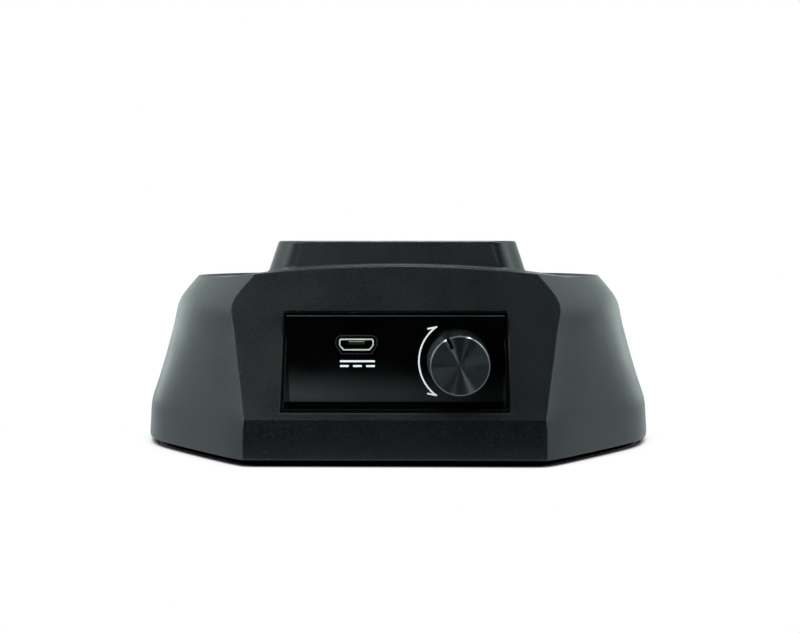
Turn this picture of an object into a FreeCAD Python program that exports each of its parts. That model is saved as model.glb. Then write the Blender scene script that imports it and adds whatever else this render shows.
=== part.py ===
# Small bench base with a motor under a square platform and one speed knob.
# Millimetres, +Z up, the control panel faces -Y, the table is the plane z = 0.
import FreeCAD, Part
import os
from math import atan2, cos, hypot, pi, radians, sin, sqrt, tan
from FreeCAD import Vector

os.makedirs("parts", exist_ok=True)

# ---- Driving dimensions ----
# casing, outside
skirt_radius = 61.4            # widest radius, at the lower edge
skirt_bottom = 1.5             # lower edge above the table
skirt_top = 10.1               # height of the crease above the skirt
skirt_draft = 0.5              # how far the skirt leans in up to the crease
shoulder_height = 33.4         # where the wall turns into the shoulder
shoulder_radius = 54.3         # wall radius at that height
shoulder_slope = 42.0          # degrees from the vertical at the lip
wall_hollow = 0.4              # how far the wall is bowed inwards
lip_radius = 49.5              # top rim of the shoulder
lip_height = 39.9
flat_share = 0.045             # how much the diagonals are flattened at the skirt
flat_angle = 40.0              # direction of each flattened diagonal from the X axis, degrees
corner_sharpness = 60.0        # exponent that blends round stretches into flattened ones
wall = 2.4                     # casing wall

# leaning front face
front_reach = 51.6             # front face of the skirt at its lower edge, from the drive axis
front_draft = 0.55             # how far the skirt's front leans back up to the crease
front_lean = 23.4              # average lean of the face above the crease, degrees
front_hollow = 0.6             # how far that face is bowed inwards

# bridge, wings and platform
crown_height = 42.5            # top of the crowned bridge
crown_radius = 290.0           # its large radius, about an axis along Y
wing_depth = 0.5               # recess of the shoulder wings below the lip
rim_width = 0.7                # rim left round the wings
platform_height = 48.2
platform_foot = 58.8           # width of the platform where it meets the bridge
platform_top = 55.3            # width of its flat top
platform_corner = 6.5          # radius of its upright corners
platform_edge = 0.8            # rounding of its top edge
platform_foot_round = 1.3      # fillet where it meets the bridge
platform_skin = 1.8            # plastic between the magnets and the vessel

# base plate and feet
base_gap = 0.2                 # clearance of the base plate in the casing
base_inset = 0.4               # base plate above the skirt's lower edge
base_thickness = 2.2
foot_radius = 7.0
foot_recess = 1.0
foot_edge = 0.5                # rounding of a foot's lower edge
foot_glue_gap = 0.15
base_pad_height = 1.9          # pads that stiffen the plate over the feet
head_clearance = 0.2           # radial room round a screw's head
boss_radius = 3.6
foot_margin = 0.7              # plate left between a foot's recess and the plate's rim
screw_radius = 1.45            # self-tapping screws of the base
screw_length = 11.0
screw_head_radius = 2.75
screw_head_height = 1.6
thread_gap = 0.03              # radial room between a thread and its pilot hole
shank_gap = 0.12               # radial room round a screw where it only passes through
pilot_depth = 0.6              # room beyond a screw's end

# control panel
panel_reach = 43.0             # front surface of the panel from the drive axis
opening_width = 49.0
opening_bottom = 11.45
opening_top = 32.6
opening_gap = 0.15
panel_thickness = 2.0
panel_rib = 1.6                # thickness of the rear frame and its ears
liner_wall = 0.6
ear_reach = 30.5
ear_height = 8.0
panel_screw_height = 18.0
panel_screw_offset = 28.0
panel_screw_radius = 1.1
panel_screw_length = 6.0
panel_screw_head = 2.1
panel_screw_head_height = 1.3
panel_face_gap = 0.25          # the panel's side walls stay behind the leaning face
frame_step = 1.0               # rear frame, in from the panel's upper and lower edges

# power socket, a five-contact micro receptacle
socket_offset = -8.5
socket_height = 25.5
socket_width = 7.6
socket_depth_z = 2.6           # height of the metal mouth
socket_floor_width = 5.4       # narrow side of the mouth
socket_side = 1.1              # upright part of each side
socket_sheet = 0.3
socket_proud = 0.2             # how far the shell stands out of the panel
socket_gap = 0.45              # cut-out round the shell
tongue_width = 3.7
tongue_thickness = 0.6
tongue_setback = 0.7
contact_count = 5
contact_pitch = 0.65
contact_width = 0.35
contact_thickness = 0.12
contact_setback = 0.3          # behind the tongue's tip
socket_back = 1.0              # solid rear of the shell

# potentiometer and its knob
knob_offset = 13.6
knob_height = 22.1
knob_base_radius = 6.8
knob_face_radius = 6.25
knob_length = 13.6
knob_gap = 0.4                 # between the knob and the panel
knob_chamfer = 0.35
knob_rear_edge = 0.3           # chamfer at the knob's foot
knob_front_wall = 2.0
knob_cavity_radius = 5.75
knob_cavity_depth = 3.2
knob_rest_angle = 24.0         # pointer, left of straight up, degrees
pointer_length = 2.4
pointer_width = 0.75
pointer_depth = 0.5
insert_radius = 4.6
shaft_radius = 3.0
shaft_gap = 0.05               # running clearance of the shaft in its bushing
shaft_end_gap = 0.8
shaft_flat = 1.5               # distance of the shaft's flat from its axis
bushing_radius = 3.5
bushing_length = 6.8
bushing_gap = 0.05
nut_across_flats = 9.0
nut_height = 2.0
nut_gap = 0.02
washer_radius = 5.3
washer_thickness = 0.5
pot_width = 9.8
pot_height = 11.0
pot_depth = 5.0
pot_wall = 0.9
wiper_radius = 3.6
wiper_thickness = 0.8
wiper_gap = 0.4                # radial room round the wiper
wiper_space = 0.6              # room in front of the wiper
pin_size = 0.8
pin_pitch = 2.5
pin_length = 3.2
pin_gap = 0.1

# control board
board_width = 46.0
board_low = 13.4
board_high = 30.6
board_thickness = 1.6
post_radius = 2.2
post_offset = 21.0
post_height = 16.4
board_screw_radius = 0.95
board_screw_length = 4.6
board_screw_head = 1.8
board_screw_head_height = 1.2
chip_size = 5.0
chip_thickness = 1.6
chip_offset = -3.0
chip_place = 17.5              # height of its middle
chip_leg_pitch = 1.27
chip_leg_width = 0.4
chip_leg_reach = 0.9
chip_leg_thickness = 0.3
capacitor_radius = 3.15
capacitor_length = 7.0
capacitor_base = 0.6
capacitor_edge = 0.5
capacitor_offset = 5.2
capacitor_place = 25.6
coil_size = 6.0
coil_thickness = 3.2
coil_corner = 1.2
coil_offset = -17.5
coil_place = 25.0
plug_width = 7.4
plug_depth = 4.8
plug_height = 5.6
plug_offset = -8.5
plug_place = 25.5
plug_groove_rim = 1.0
plug_groove_depth = 1.6
plug_groove_height = 0.6

# motor
motor_radius = 12.2
motor_can_height = 10.5
motor_can_sheet = 0.8
motor_cap_height = 2.0
motor_shaft_radius = 1.0
motor_shaft_gap = 0.02
bearing_radius = 2.5
bearing_length = 2.2
bearing_housing_radius = 3.1
bearing_housing_height = 1.4
bearing_seat = 0.6             # lower bearing, below the top of its seat
cap_spigot = 0.6               # end cap, up into the can
cap_spigot_gap = 0.02
cap_neck_wall = 0.8
cap_neck_height = 1.2
can_hole_gap = 0.4             # round the shaft in the can's roof
field_magnet_thickness = 2.2
field_magnet_height = 7.0
field_magnet_angle = 130.0
armature_gap = 0.45
armature_height = 4.6
winding_height = 0.9
winding_step = 1.0             # winding, in from the tooth's tip
winding_core = 2.0             # solid core round the shaft
winding_gap = 0.2
field_lift = 1.0               # magnets above the brushes
tooth_count = 3
slot_width = 2.4
commutator_radius = 2.2
commutator_length = 2.4
commutator_overlap = 0.4       # commutator below the brushes
brush_gap = 0.3
brush_size = 1.2
brush_length = 3.0
brush_lift = 0.6               # brushes above the end cap
tab_offset = 7.5
tab_width = 2.0
tab_thickness = 0.5
tab_length = 3.4
motor_screw_offset = 8.0
motor_screw_radius = 1.0
motor_screw_head = 1.9
motor_screw_head_height = 1.1

# motor bracket on rubber grommets under the roof
bracket_height = 31.9          # underside of the bracket plate
bracket_thickness = 1.2
bracket_ear = 5.0              # metal kept round each grommet
hanger_offset_x = 29.0
hanger_offset_y = 10.5
grommet_radius = 4.5
grommet_groove_radius = 3.3
grommet_lip = 1.4
grommet_gap = 0.02
bracket_screw_radius = 1.2
bracket_screw_head = 3.2
bracket_screw_head_height = 1.6
bracket_screw_grip = 5.0       # thread in the roof boss
bracket_window = 5.0           # radius of the holes that lighten the plate
bracket_window_setback = 9.5
bracket_fit = 0.1

# magnet holder
rotor_top_gap = 1.2            # magnets to the platform's underside
stir_magnet_radius = 6.0
stir_magnet_height = 4.0
stir_magnet_offset = 14.5
magnet_pocket_gap = 0.05
magnet_rim = 1.4
magnet_edge = 0.3
holder_flat = 9.0              # half width between the holder's flats
holder_floor = 1.0
hub_radius = 3.5
hub_gap = 1.0                  # hub above the motor's neck
yoke_thickness = 1.0
yoke_width = 12.0
yoke_setback = 0.5
yoke_corner = 4.2
yoke_gap = 0.05

# leads from the board to the motor
lead_radius = 0.55
lead_bend = 2.2
lead_spread = 1.3              # half the distance between the leads at the plug
lead_run = 6.5                 # straight out of the plug
lead_join = 1.0                # soldered end above the tab's tip
lead_clearance = 1.0           # away from the motor's can

# ---- Derived heights and places ----
base_low = skirt_bottom + base_inset
foot_top = base_low + foot_recess
foot_place_radius = foot_radius + foot_glue_gap
flat_reach = (skirt_radius - skirt_draft) * (1.0 - flat_share)
corner_boss_reach = flat_reach - wall - base_gap - foot_place_radius - foot_margin
pad_top = base_low + base_thickness + base_pad_height
head_top = foot_top + screw_head_height
panel_back = panel_reach - panel_thickness - panel_rib
board_front = panel_back - pot_depth
board_back = board_front - board_thickness
bracket_top = bracket_height + bracket_thickness
grommet_low = bracket_height - grommet_lip
grommet_top = bracket_top + grommet_lip
holder_magnet_top = platform_height - platform_skin - rotor_top_gap
holder_top = holder_magnet_top
holder_low = holder_magnet_top - stir_magnet_height - holder_floor
holder_radius = stir_magnet_offset + stir_magnet_radius + magnet_rim
can_low = bracket_height - motor_can_height
hub_low = bracket_height + bearing_housing_height + hub_gap
cap_low = can_low - motor_cap_height
far = 3.0 * skirt_radius       # well outside the casing

# the knob stands out further at the front than the casing does at the back, or less,
# so the whole model is moved along Y to put its box's middle at y = 0
knob_front = panel_reach + knob_gap + knob_length
centre_shift = (max(knob_front, front_reach) - skirt_radius) / 2.0


# ---- Helpers ----
def block(x0, x1, y0, y1, z0, z1):
    return Part.makeBox(x1 - x0, y1 - y0, z1 - z0, Vector(x0, y0, z0))


def rod(radius, z0, z1, x=0.0, y=0.0):
    return Part.makeCylinder(radius, z1 - z0, Vector(x, y, z0))


def ring(outer, inner, z0, z1, x=0.0, y=0.0):
    return rod(outer, z0, z1, x, y).cut(rod(inner, z0 - 1.0, z1 + 1.0, x, y))


def joined(shapes):
    whole = shapes[0].fuse(shapes[1:]) if len(shapes) > 1 else shapes[0]
    return whole.removeSplitter()


def without(shape, tools):
    return shape.cut(tools)


def prism(points, z0, z1):
    corners = [Vector(x, y, z0) for x, y in points]
    face = Part.Face(Part.makePolygon(corners + corners[:1]))
    return face.extrude(Vector(0, 0, z1 - z0))


def spun(points):
    # solid of revolution about Z from (radius, height) corners
    corners = [Vector(r, 0, z) for r, z in points]
    face = Part.Face(Part.makePolygon(corners + corners[:1]))
    return face.revolve(Vector(0, 0, 0), Vector(0, 0, 1), 360)


def turned(shape, degrees):
    shape.rotate(Vector(0, 0, 0), Vector(0, 0, 1), degrees)
    return shape


def on_panel(shape, x=0.0, z=0.0):
    # local x right, y up, z outwards from the panel's front surface
    shape.rotate(Vector(0, 0, 0), Vector(1, 0, 0), 90)
    shape.translate(Vector(x, -panel_reach, z))
    return shape


def save(name, shape):
    solids = shape.copy()
    solids.translate(Vector(0, centre_shift, 0))
    solids.exportStep("parts/" + name + ".step")
    print(name, len(solids.Solids), "solids,", round(solids.Volume, 1), "mm3", solids.isValid())


def rounded_square(side, corner, z):
    half = side / 2.0
    flat = half - corner
    bow = corner * sqrt(0.5)
    edges = []
    for quarter in range(4):
        turn = radians(90 * quarter)

        def at(x, y):
            return Vector(x * cos(turn) - y * sin(turn), x * sin(turn) + y * cos(turn), z)

        edges.append(Part.LineSegment(at(half, -flat), at(half, flat)).toShape())
        arc = Part.Arc(at(half, flat), at(flat + bow, flat + bow), at(flat, half))
        edges.append(arc.toShape())
    return Part.Wire(edges)


# ---- Casing ----
def casing_profile():
    # side view of the wall as a smooth curve through (radius, height) points, bottom to top
    crease_radius = skirt_radius - skirt_draft
    skirt_rise = skirt_top - skirt_bottom
    points = [(skirt_radius, skirt_bottom)]
    for along in (0.3, 0.65, 0.93):
        points.append((skirt_radius - skirt_draft * along * along, skirt_bottom + along * skirt_rise))
    wall_rise = shoulder_height - skirt_top
    wall_run = crease_radius - shoulder_radius
    steps = 6
    for step in range(1, steps + 1):
        along = step / steps
        bow = 4.0 * wall_hollow * along * (1.0 - along)
        points.append((crease_radius - along * wall_run - bow, skirt_top + along * wall_rise))
    # the wall's line and the shoulder's line meet at the knee, which the curve rounds off
    slope = tan(radians(shoulder_slope))
    wall_slope = wall_run / wall_rise
    excess = shoulder_radius - lip_radius - slope * (lip_height - shoulder_height)
    rise = excess / (wall_slope - slope)
    knee_radius = shoulder_radius - wall_slope * rise
    knee_height = shoulder_height + rise
    for along in (0.33, 0.67, 1.0):
        back = 1.0 - along
        radius = back * back * shoulder_radius + 2 * along * back * knee_radius + along * along * lip_radius
        height = back * back * shoulder_height + 2 * along * back * knee_height + along * along * lip_height
        points.append((radius, height))
    above = crown_height + 1.5
    points.append((lip_radius - slope * (above - lip_height), above))
    curve = Part.BSplineCurve()
    curve.interpolate([Vector(radius, 0, height) for radius, height in points])
    return curve


def casing_reach(angle, radius, height):
    # distance of the wall from the axis: a circle, blended into a chord at each diagonal
    along = min(max((height - skirt_top) / (lip_height - skirt_top), 0.0), 1.0)
    share = flat_share * (1.0 - along) - 0.04 * along
    total = radius ** -corner_sharpness
    for side in (flat_angle, 180 - flat_angle, 180 + flat_angle, 360 - flat_angle):
        facing = cos(angle - radians(side))
        if facing > 0.2:
            total += (radius * (1.0 - share) / facing) ** -corner_sharpness
    return total ** (-1.0 / corner_sharpness)


def casing_half(inset, drop, start):
    # half of the wall's surface, from one angle through half a turn
    curve = casing_profile()
    length = curve.length()
    rows = []
    row_count = 20
    column_count = 37
    for row in range(row_count):
        parameter = curve.parameterAtDistance(length * row / (row_count - 1), curve.FirstParameter)
        spot = curve.value(parameter)
        z = spot.z - drop if row == 0 else spot.z
        points = []
        for column in range(column_count):
            angle = start + pi * column / (column_count - 1)
            reach = casing_reach(angle, spot.x, spot.z) - inset
            points.append(Vector(reach * cos(angle), reach * sin(angle), z))
        rows.append(points)
    surface = Part.BSplineSurface()
    surface.interpolate(rows)
    return surface.toShape()


def casing_body(inset, drop):
    # closed solid inside the wall's surface, carried down by the drop at the bottom
    faces = [casing_half(inset, drop, -pi / 2.0), casing_half(inset, drop, pi / 2.0)]
    level = [edge for face in faces for edge in face.Edges if edge.BoundBox.ZLength < 0.01]
    for low in (True, False):
        rim = [edge for edge in level if (edge.BoundBox.ZMax < skirt_top) == low]
        faces.append(Part.Face(Part.Wire(Part.__sortEdges__(rim))))
    shell = Part.Shell(faces)
    shell.sewShape()
    solid = Part.makeSolid(shell)
    if solid.Volume < 0:
        solid.reverse()
    return solid


def casing_slab(low, high, inset):
    # upright slab with the outline of the skirt's lower edge
    points = []
    count = 72
    for index in range(count):
        angle = pi / 2.0 + 2.0 * pi * index / count
        reach = casing_reach(angle, skirt_radius - skirt_draft, skirt_bottom) - inset
        points.append(Vector(reach * cos(angle), reach * sin(angle), low))
    curve = Part.BSplineCurve()
    curve.interpolate(points, PeriodicFlag=True)
    return Part.Face(Part.Wire(curve.toShape())).extrude(Vector(0, 0, high - low))


def front_cutter(inset):
    # everything in front of the face, with the face moved in by the inset
    lean = radians(front_lean)
    top = crown_height + 8.0
    span = (top - skirt_top) / cos(lean)
    arc_radius = span * span / (8.0 * front_hollow) + front_hollow / 2.0
    crease_y = front_draft - front_reach
    middle_y = crease_y + (top - skirt_top) / 2.0 * tan(lean)
    middle_z = (top + skirt_top) / 2.0
    away = arc_radius - front_hollow
    centre_y = middle_y - away * cos(lean)
    centre_z = middle_z + away * sin(lean)
    tube = Part.makeCylinder(arc_radius + inset, 2 * far, Vector(-far, centre_y, centre_z), Vector(1, 0, 0))
    foot_y = -front_reach + inset
    outline = [(-far, -far), (foot_y, -far), (foot_y, skirt_bottom),
               (crease_y + inset, skirt_top), (-far, skirt_top)]
    corners = [Vector(-far, y, z) for y, z in outline]
    below = Part.Face(Part.makePolygon(corners + corners[:1])).extrude(Vector(2 * far, 0, 0))
    above = tube.common(block(-far, far, -far, 0, skirt_top - inset, far))
    return below.fuse(above)


def crown_cylinder(inset):
    axis_z = crown_height - crown_radius
    return Part.makeCylinder(crown_radius - inset, 2 * far, Vector(0, -far, axis_z), Vector(0, 1, 0))


def top_limit(inset):
    # the space below the lip or below the crowned bridge
    below_lip = block(-far, far, -far, far, -far, lip_height - inset)
    return below_lip.fuse(crown_cylinder(inset))


def platform_solid(inset, low, high):
    # drafted square block, cut off at any height
    draft = (platform_foot - platform_top) / 2.0 / (platform_height - crown_height)
    wires = []
    for z in (low, high):
        side = platform_foot - 2.0 * draft * (z - crown_height) - 2.0 * inset
        wires.append(rounded_square(side, max(platform_corner - inset, 0.5), z))
    return Part.makeLoft(wires, True, True)


def edges_in(shape, test):
    found = []
    for edge in shape.Edges:
        middle = edge.valueAt((edge.FirstParameter + edge.LastParameter) / 2.0)
        if test(middle, edge):
            found.append(edge)
    return found


def corner_places():
    side = corner_boss_reach * sqrt(0.5)
    return [(sx * side, sy * side) for sx in (-1, 1) for sy in (-1, 1)]


def hanger_places():
    return [(sx * hanger_offset_x, sy * hanger_offset_y) for sx in (-1, 1) for sy in (-1, 1)]


def platform_cap():
    # the platform with the patch of bridge it stands on, edges rounded
    reach = platform_foot / 2.0 + 4.0
    patch = block(-reach, reach, -reach, reach, lip_height - wall, crown_height + 1.0)
    whole = patch.common(crown_cylinder(0.0)).fuse(platform_solid(0.0, lip_height - 1.0, platform_height))
    whole = whole.removeSplitter()

    def top_edge(point, edge):
        return point.z > platform_height - 0.01

    whole = whole.makeFillet(platform_edge, edges_in(whole, top_edge))

    def foot_edge(point, edge):
        level = edge.BoundBox.ZMax < crown_height + 0.1 and edge.BoundBox.ZMin > lip_height + 0.2
        return level and max(abs(point.x), abs(point.y)) < reach - 1.0

    return whole.makeFillet(platform_foot_round, edges_in(whole, foot_edge))


def make_top_housing():
    solid = casing_body(0.0, 0.0).cut(front_cutter(0.0)).common(top_limit(0.0))
    hollow = casing_body(wall, 1.0).cut(front_cutter(wall)).common(top_limit(wall))
    wings = rod(lip_radius - rim_width, lip_height - wing_depth, far).cut(crown_cylinder(0.0))
    shell = solid.cut(hollow).cut(wings)
    shell = shell.fuse(platform_cap())
    ceiling = platform_height - platform_skin
    shell = shell.cut(platform_solid(wall, lip_height - 2.0 * wall, ceiling))

    bosses = [rod(boss_radius, pad_top, lip_height, x, y) for x, y in corner_places()]
    bosses += [rod(boss_radius, grommet_top, crown_height, x, y) for x, y in hanger_places()]
    for side in (-1, 1):
        ear_boss = rod(boss_radius, -panel_thickness, far)
        bosses.append(on_panel(ear_boss, side * panel_screw_offset, panel_screw_height))
    inside = solid.cut(front_cutter(wall / 2.0))
    shell = shell.fuse([boss.common(inside) for boss in bosses])

    half = opening_width / 2.0
    cuts = [block(-half, half, -far, -panel_reach + 6.0, opening_bottom, opening_top)]
    for x, y in corner_places():
        pilot_top = head_top + screw_length + pilot_depth
        cuts.append(rod(screw_radius + thread_gap, pad_top - 1.0, pilot_top, x, y))
    for x, y in hanger_places():
        pilot_top = grommet_top + bracket_screw_grip + pilot_depth
        cuts.append(rod(bracket_screw_radius + thread_gap, grommet_top - 1.0, pilot_top, x, y))
    for side in (-1, 1):
        depth = panel_screw_length - panel_rib + pilot_depth
        pilot = rod(panel_screw_radius + thread_gap, -panel_thickness - 1.0, -panel_thickness + depth)
        cuts.append(on_panel(pilot, side * panel_screw_offset, panel_screw_height))
    return without(shell, cuts)


# ---- Base ----
def make_base_plate():
    inset = wall + base_gap
    plate = casing_slab(base_low, base_low + base_thickness, inset)
    pads = [rod(foot_place_radius + foot_margin, base_low, pad_top, x, y) for x, y in corner_places()]
    inside = casing_slab(0.0, skirt_top, inset).cut(front_cutter(inset))
    plate = plate.fuse(pads).common(inside)
    cuts = []
    for x, y in corner_places():
        cuts.append(rod(foot_place_radius, 0, foot_top, x, y))
        cuts.append(rod(screw_head_radius + head_clearance, 0, head_top, x, y))
        cuts.append(rod(screw_radius + shank_gap, 0, far, x, y))
    return without(plate, cuts)


def screw(radius, length, head_radius, head_height):
    # head below z = 0, thread above it, with a cross recess in the head
    body = joined([rod(radius, 0, length), rod(head_radius, -head_height, 0)])
    arm = 0.62 * head_radius
    slot = 0.13 * head_radius
    deep = 0.6 * head_height
    cross = block(-arm, arm, -slot, slot, -head_height - 1, -head_height + deep)
    cross = cross.fuse(block(-slot, slot, -arm, arm, -head_height - 1, -head_height + deep))
    return body.cut(cross)


def copies(shape, places, z):
    solids = []
    for x, y in places:
        solid = shape.copy()
        solid.translate(Vector(x, y, z))
        solids.append(solid)
    return Part.makeCompound(solids)


def make_base_screws():
    one = screw(screw_radius, screw_length, screw_head_radius, screw_head_height)
    return copies(one, corner_places(), head_top)


def make_rubber_feet():
    foot = rod(foot_radius, 0, foot_top)
    rim = edges_in(foot, lambda point, edge: abs(point.z) < 0.01)
    foot = foot.makeFillet(foot_edge, rim)
    return copies(foot, corner_places(), 0)


# ---- Control panel ----
def socket_outline(inset):
    # outline of the receptacle's mouth, wide side up; a negative inset makes it larger
    half = socket_width / 2.0 - inset
    top = socket_depth_z / 2.0 - inset
    run = (socket_width - socket_floor_width) / 2.0
    fall = socket_depth_z - socket_side
    slant = inset * (hypot(run, fall) - run) / fall
    floor = socket_floor_width / 2.0 - slant
    knee = top - (socket_side - inset) - inset * (hypot(run, fall) - fall) / run + inset
    return [(-half, top), (-half, knee), (-floor, -top), (floor, -top), (half, knee), (half, top)]


def make_control_panel():
    half = opening_width / 2.0 - opening_gap
    low = opening_bottom + opening_gap
    high = opening_top - opening_gap
    front = -panel_reach
    tray = block(-half, half, -far, front + panel_thickness, low, high)
    hollow = block(-half + liner_wall, half - liner_wall, -far, front, low + liner_wall, high - liner_wall)
    tray = tray.cut(hollow).cut(front_cutter(panel_face_gap))
    plate = block(-half, half, front, front + panel_thickness, low, high)
    middle = panel_screw_height
    ears = block(-ear_reach, ear_reach, front + panel_thickness, -panel_back,
                 middle - ear_height / 2.0, middle + ear_height / 2.0)
    frame = block(-half, half, front + panel_thickness, -panel_back, low + frame_step, high - frame_step)
    panel = joined([tray, plate, ears, frame])
    posts = []
    for side in (-1, 1):
        post = rod(post_radius, -(panel_reach - board_front), -panel_thickness)
        posts.append(on_panel(post, side * post_offset, post_height))
    panel = joined([panel] + posts)
    cuts = [on_panel(rod(bushing_radius + bushing_gap, -far, far), knob_offset, knob_height)]
    cuts.append(on_panel(prism(socket_outline(-socket_gap), -far, far), socket_offset, socket_height))
    for side in (-1, 1):
        hole = rod(panel_screw_radius + shank_gap, -far, far)
        cuts.append(on_panel(hole, side * panel_screw_offset, middle))
        reach = panel_reach - board_front
        pilot = rod(board_screw_radius + thread_gap, -reach - 1.0, -reach + board_screw_length)
        cuts.append(on_panel(pilot, side * post_offset, post_height))
    return without(panel, cuts)


def panel_screw(radius, length, head_radius, head_height, x, z, seat):
    # a screw driven towards the front, its head's seat at the given distance behind the panel
    one = screw(radius, length, head_radius, head_height)
    one.translate(Vector(0, 0, -seat))
    return on_panel(one, x, z)


def make_panel_screws():
    seat = panel_thickness + panel_rib
    return Part.makeCompound([
        panel_screw(panel_screw_radius, panel_screw_length, panel_screw_head, panel_screw_head_height,
                    side * panel_screw_offset, panel_screw_height, seat)
        for side in (-1, 1)])


def make_board_screws():
    seat = panel_reach - board_back
    return Part.makeCompound([
        panel_screw(board_screw_radius, board_screw_length, board_screw_head, board_screw_head_height,
                    side * post_offset, post_height, seat)
        for side in (-1, 1)])


# ---- Power socket ----
def socket_reach():
    return panel_reach - board_front


def make_socket_shell():
    outer = prism(socket_outline(0.0), -socket_reach(), socket_proud)
    inner = prism(socket_outline(socket_sheet), -socket_reach() + socket_back, far)
    return on_panel(outer.cut(inner), socket_offset, socket_height)


def tongue_low():
    return socket_depth_z / 2.0 - 2.0 * socket_sheet - tongue_thickness


def make_socket_tongue():
    low = tongue_low()
    half = tongue_width / 2.0
    front = socket_proud - tongue_setback
    tongue = block(-half, half, low, low + tongue_thickness, -socket_reach() + socket_back, front)
    return on_panel(tongue, socket_offset, socket_height)


def make_socket_contacts():
    low = tongue_low()
    front = socket_proud - tongue_setback - contact_setback
    solids = []
    for index in range(contact_count):
        x = (index - (contact_count - 1) / 2.0) * contact_pitch
        strip = block(x - contact_width / 2.0, x + contact_width / 2.0, low - contact_thickness, low,
                      -socket_reach() + socket_back, front)
        solids.append(on_panel(strip, socket_offset, socket_height))
    return Part.makeCompound(solids)


# ---- Control board ----
def make_control_board():
    half = board_width / 2.0
    board = block(-half, half, -board_front, -board_back, board_low, board_high)
    cuts = []
    for side in (-1, 1):
        hole = rod(board_screw_radius + shank_gap, -far, far)
        cuts.append(on_panel(hole, side * post_offset, post_height))
    for x in pin_places():
        cuts.append(pin(x, pin_size + 2.0 * pin_gap, far))
    return without(board, cuts)


def pin_places():
    return [knob_offset + (index - 1) * pin_pitch for index in range(3)]


def pin(x, size, length):
    z = knob_height - pot_height / 2.0 + pot_wall
    return block(x - size / 2.0, x + size / 2.0, -board_front, -board_front + length,
                 z - size / 2.0, z + size / 2.0)


def make_driver_chip():
    x = chip_offset
    z = chip_place
    half = chip_size / 2.0
    half_leg = chip_leg_width / 2.0
    body = block(x - half, x + half, -board_back, -board_back + chip_thickness, z - half, z + half)
    legs = []
    for index in range(4):
        along = z + (index - 1.5) * chip_leg_pitch
        for side in (-1, 1):
            inner = x + side * half
            outer = x + side * (half + chip_leg_reach)
            legs.append(block(min(inner, outer), max(inner, outer), -board_back,
                              -board_back + chip_leg_thickness, along - half_leg, along + half_leg))
    return joined([body] + legs)


def make_capacitor():
    can = rod(capacitor_radius, capacitor_base, capacitor_length)
    top_rim = edges_in(can, lambda point, edge: point.z > capacitor_length - 0.01)
    can = can.makeFillet(capacitor_edge, top_rim)
    base = block(-capacitor_radius, capacitor_radius, -capacitor_radius, capacitor_radius, 0, capacitor_base)
    can = joined([can, base])
    can.rotate(Vector(0, 0, 0), Vector(1, 0, 0), -90)
    can.translate(Vector(capacitor_offset, -board_back, capacitor_place))
    return can


def make_power_coil():
    half = coil_size / 2.0
    core = block(-half, half, -half, half, 0, coil_thickness)
    corners = edges_in(core, lambda point, edge: edge.BoundBox.ZLength > coil_thickness - 0.1)
    core = core.makeFillet(coil_corner, corners)
    core.rotate(Vector(0, 0, 0), Vector(1, 0, 0), -90)
    core.translate(Vector(coil_offset, -board_back, coil_place))
    return core


def make_motor_plug():
    x = plug_offset
    half = plug_width / 2.0
    back = -board_back + plug_depth
    top = plug_place + plug_height / 2.0
    body = block(x - half, x + half, -board_back, back, top - plug_height, top)
    groove = block(x - half + plug_groove_rim, x + half - plug_groove_rim, back - plug_groove_depth,
                   back + 1.0, top - plug_groove_height, top + 1.0)
    return body.cut(groove)


# ---- Potentiometer and knob ----
def make_pot_housing():
    back = -(panel_reach - board_front)
    front = -(panel_thickness + panel_rib)
    half_x = pot_width / 2.0
    half_y = pot_height / 2.0
    body = block(-half_x, half_x, -half_y, half_y, back, front)
    cavity = rod(wiper_radius + wiper_gap, back + pot_wall, front - pot_wall)
    hole = rod(shaft_radius + shaft_gap, front - pot_wall - 1.0, front + 1.0)
    return on_panel(without(body, [cavity, hole]), knob_offset, knob_height)


def make_pot_bushing():
    front = -(panel_thickness + panel_rib)
    tube = ring(bushing_radius, shaft_radius + shaft_gap, front, front + bushing_length)
    return on_panel(tube, knob_offset, knob_height)


def make_pot_washer():
    disc = ring(washer_radius, bushing_radius + bushing_gap, 0, washer_thickness)
    return on_panel(disc, knob_offset, knob_height)


def make_pot_nut():
    corner = nut_across_flats / 2.0 / cos(radians(30))
    points = [(corner * cos(radians(60 * k)), corner * sin(radians(60 * k))) for k in range(6)]
    nut = prism(points, washer_thickness, washer_thickness + nut_height)
    nut = nut.cut(rod(bushing_radius + nut_gap, -1.0, far))
    return on_panel(nut, knob_offset, knob_height)


def make_pot_pins():
    return Part.makeCompound([pin(x, pin_size, pin_length) for x in pin_places()])


def shaft_low():
    return -(panel_thickness + panel_rib) - pot_wall - wiper_thickness - wiper_space


def shaft_high():
    return knob_gap + knob_length - knob_front_wall - shaft_end_gap


def make_pot_shaft():
    shaft = rod(shaft_radius, shaft_low() + wiper_thickness, shaft_high())
    flat = block(-far, far, shaft_flat, far, knob_gap + knob_cavity_depth, far)
    return on_panel(turned(shaft.cut(flat), knob_rest_angle), knob_offset, knob_height)


def make_pot_wiper():
    disc = rod(wiper_radius, shaft_low(), shaft_low() + wiper_thickness)
    return on_panel(disc, knob_offset, knob_height)


def make_knob_insert():
    low = knob_gap + knob_cavity_depth
    high = knob_gap + knob_length - knob_front_wall
    sleeve = rod(insert_radius, low, high)
    bore = rod(shaft_radius, low - 1.0, shaft_high())
    bore = bore.cut(block(-far, far, shaft_flat, far, -far, far))
    return on_panel(turned(sleeve.cut(bore), knob_rest_angle), knob_offset, knob_height)


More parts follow.
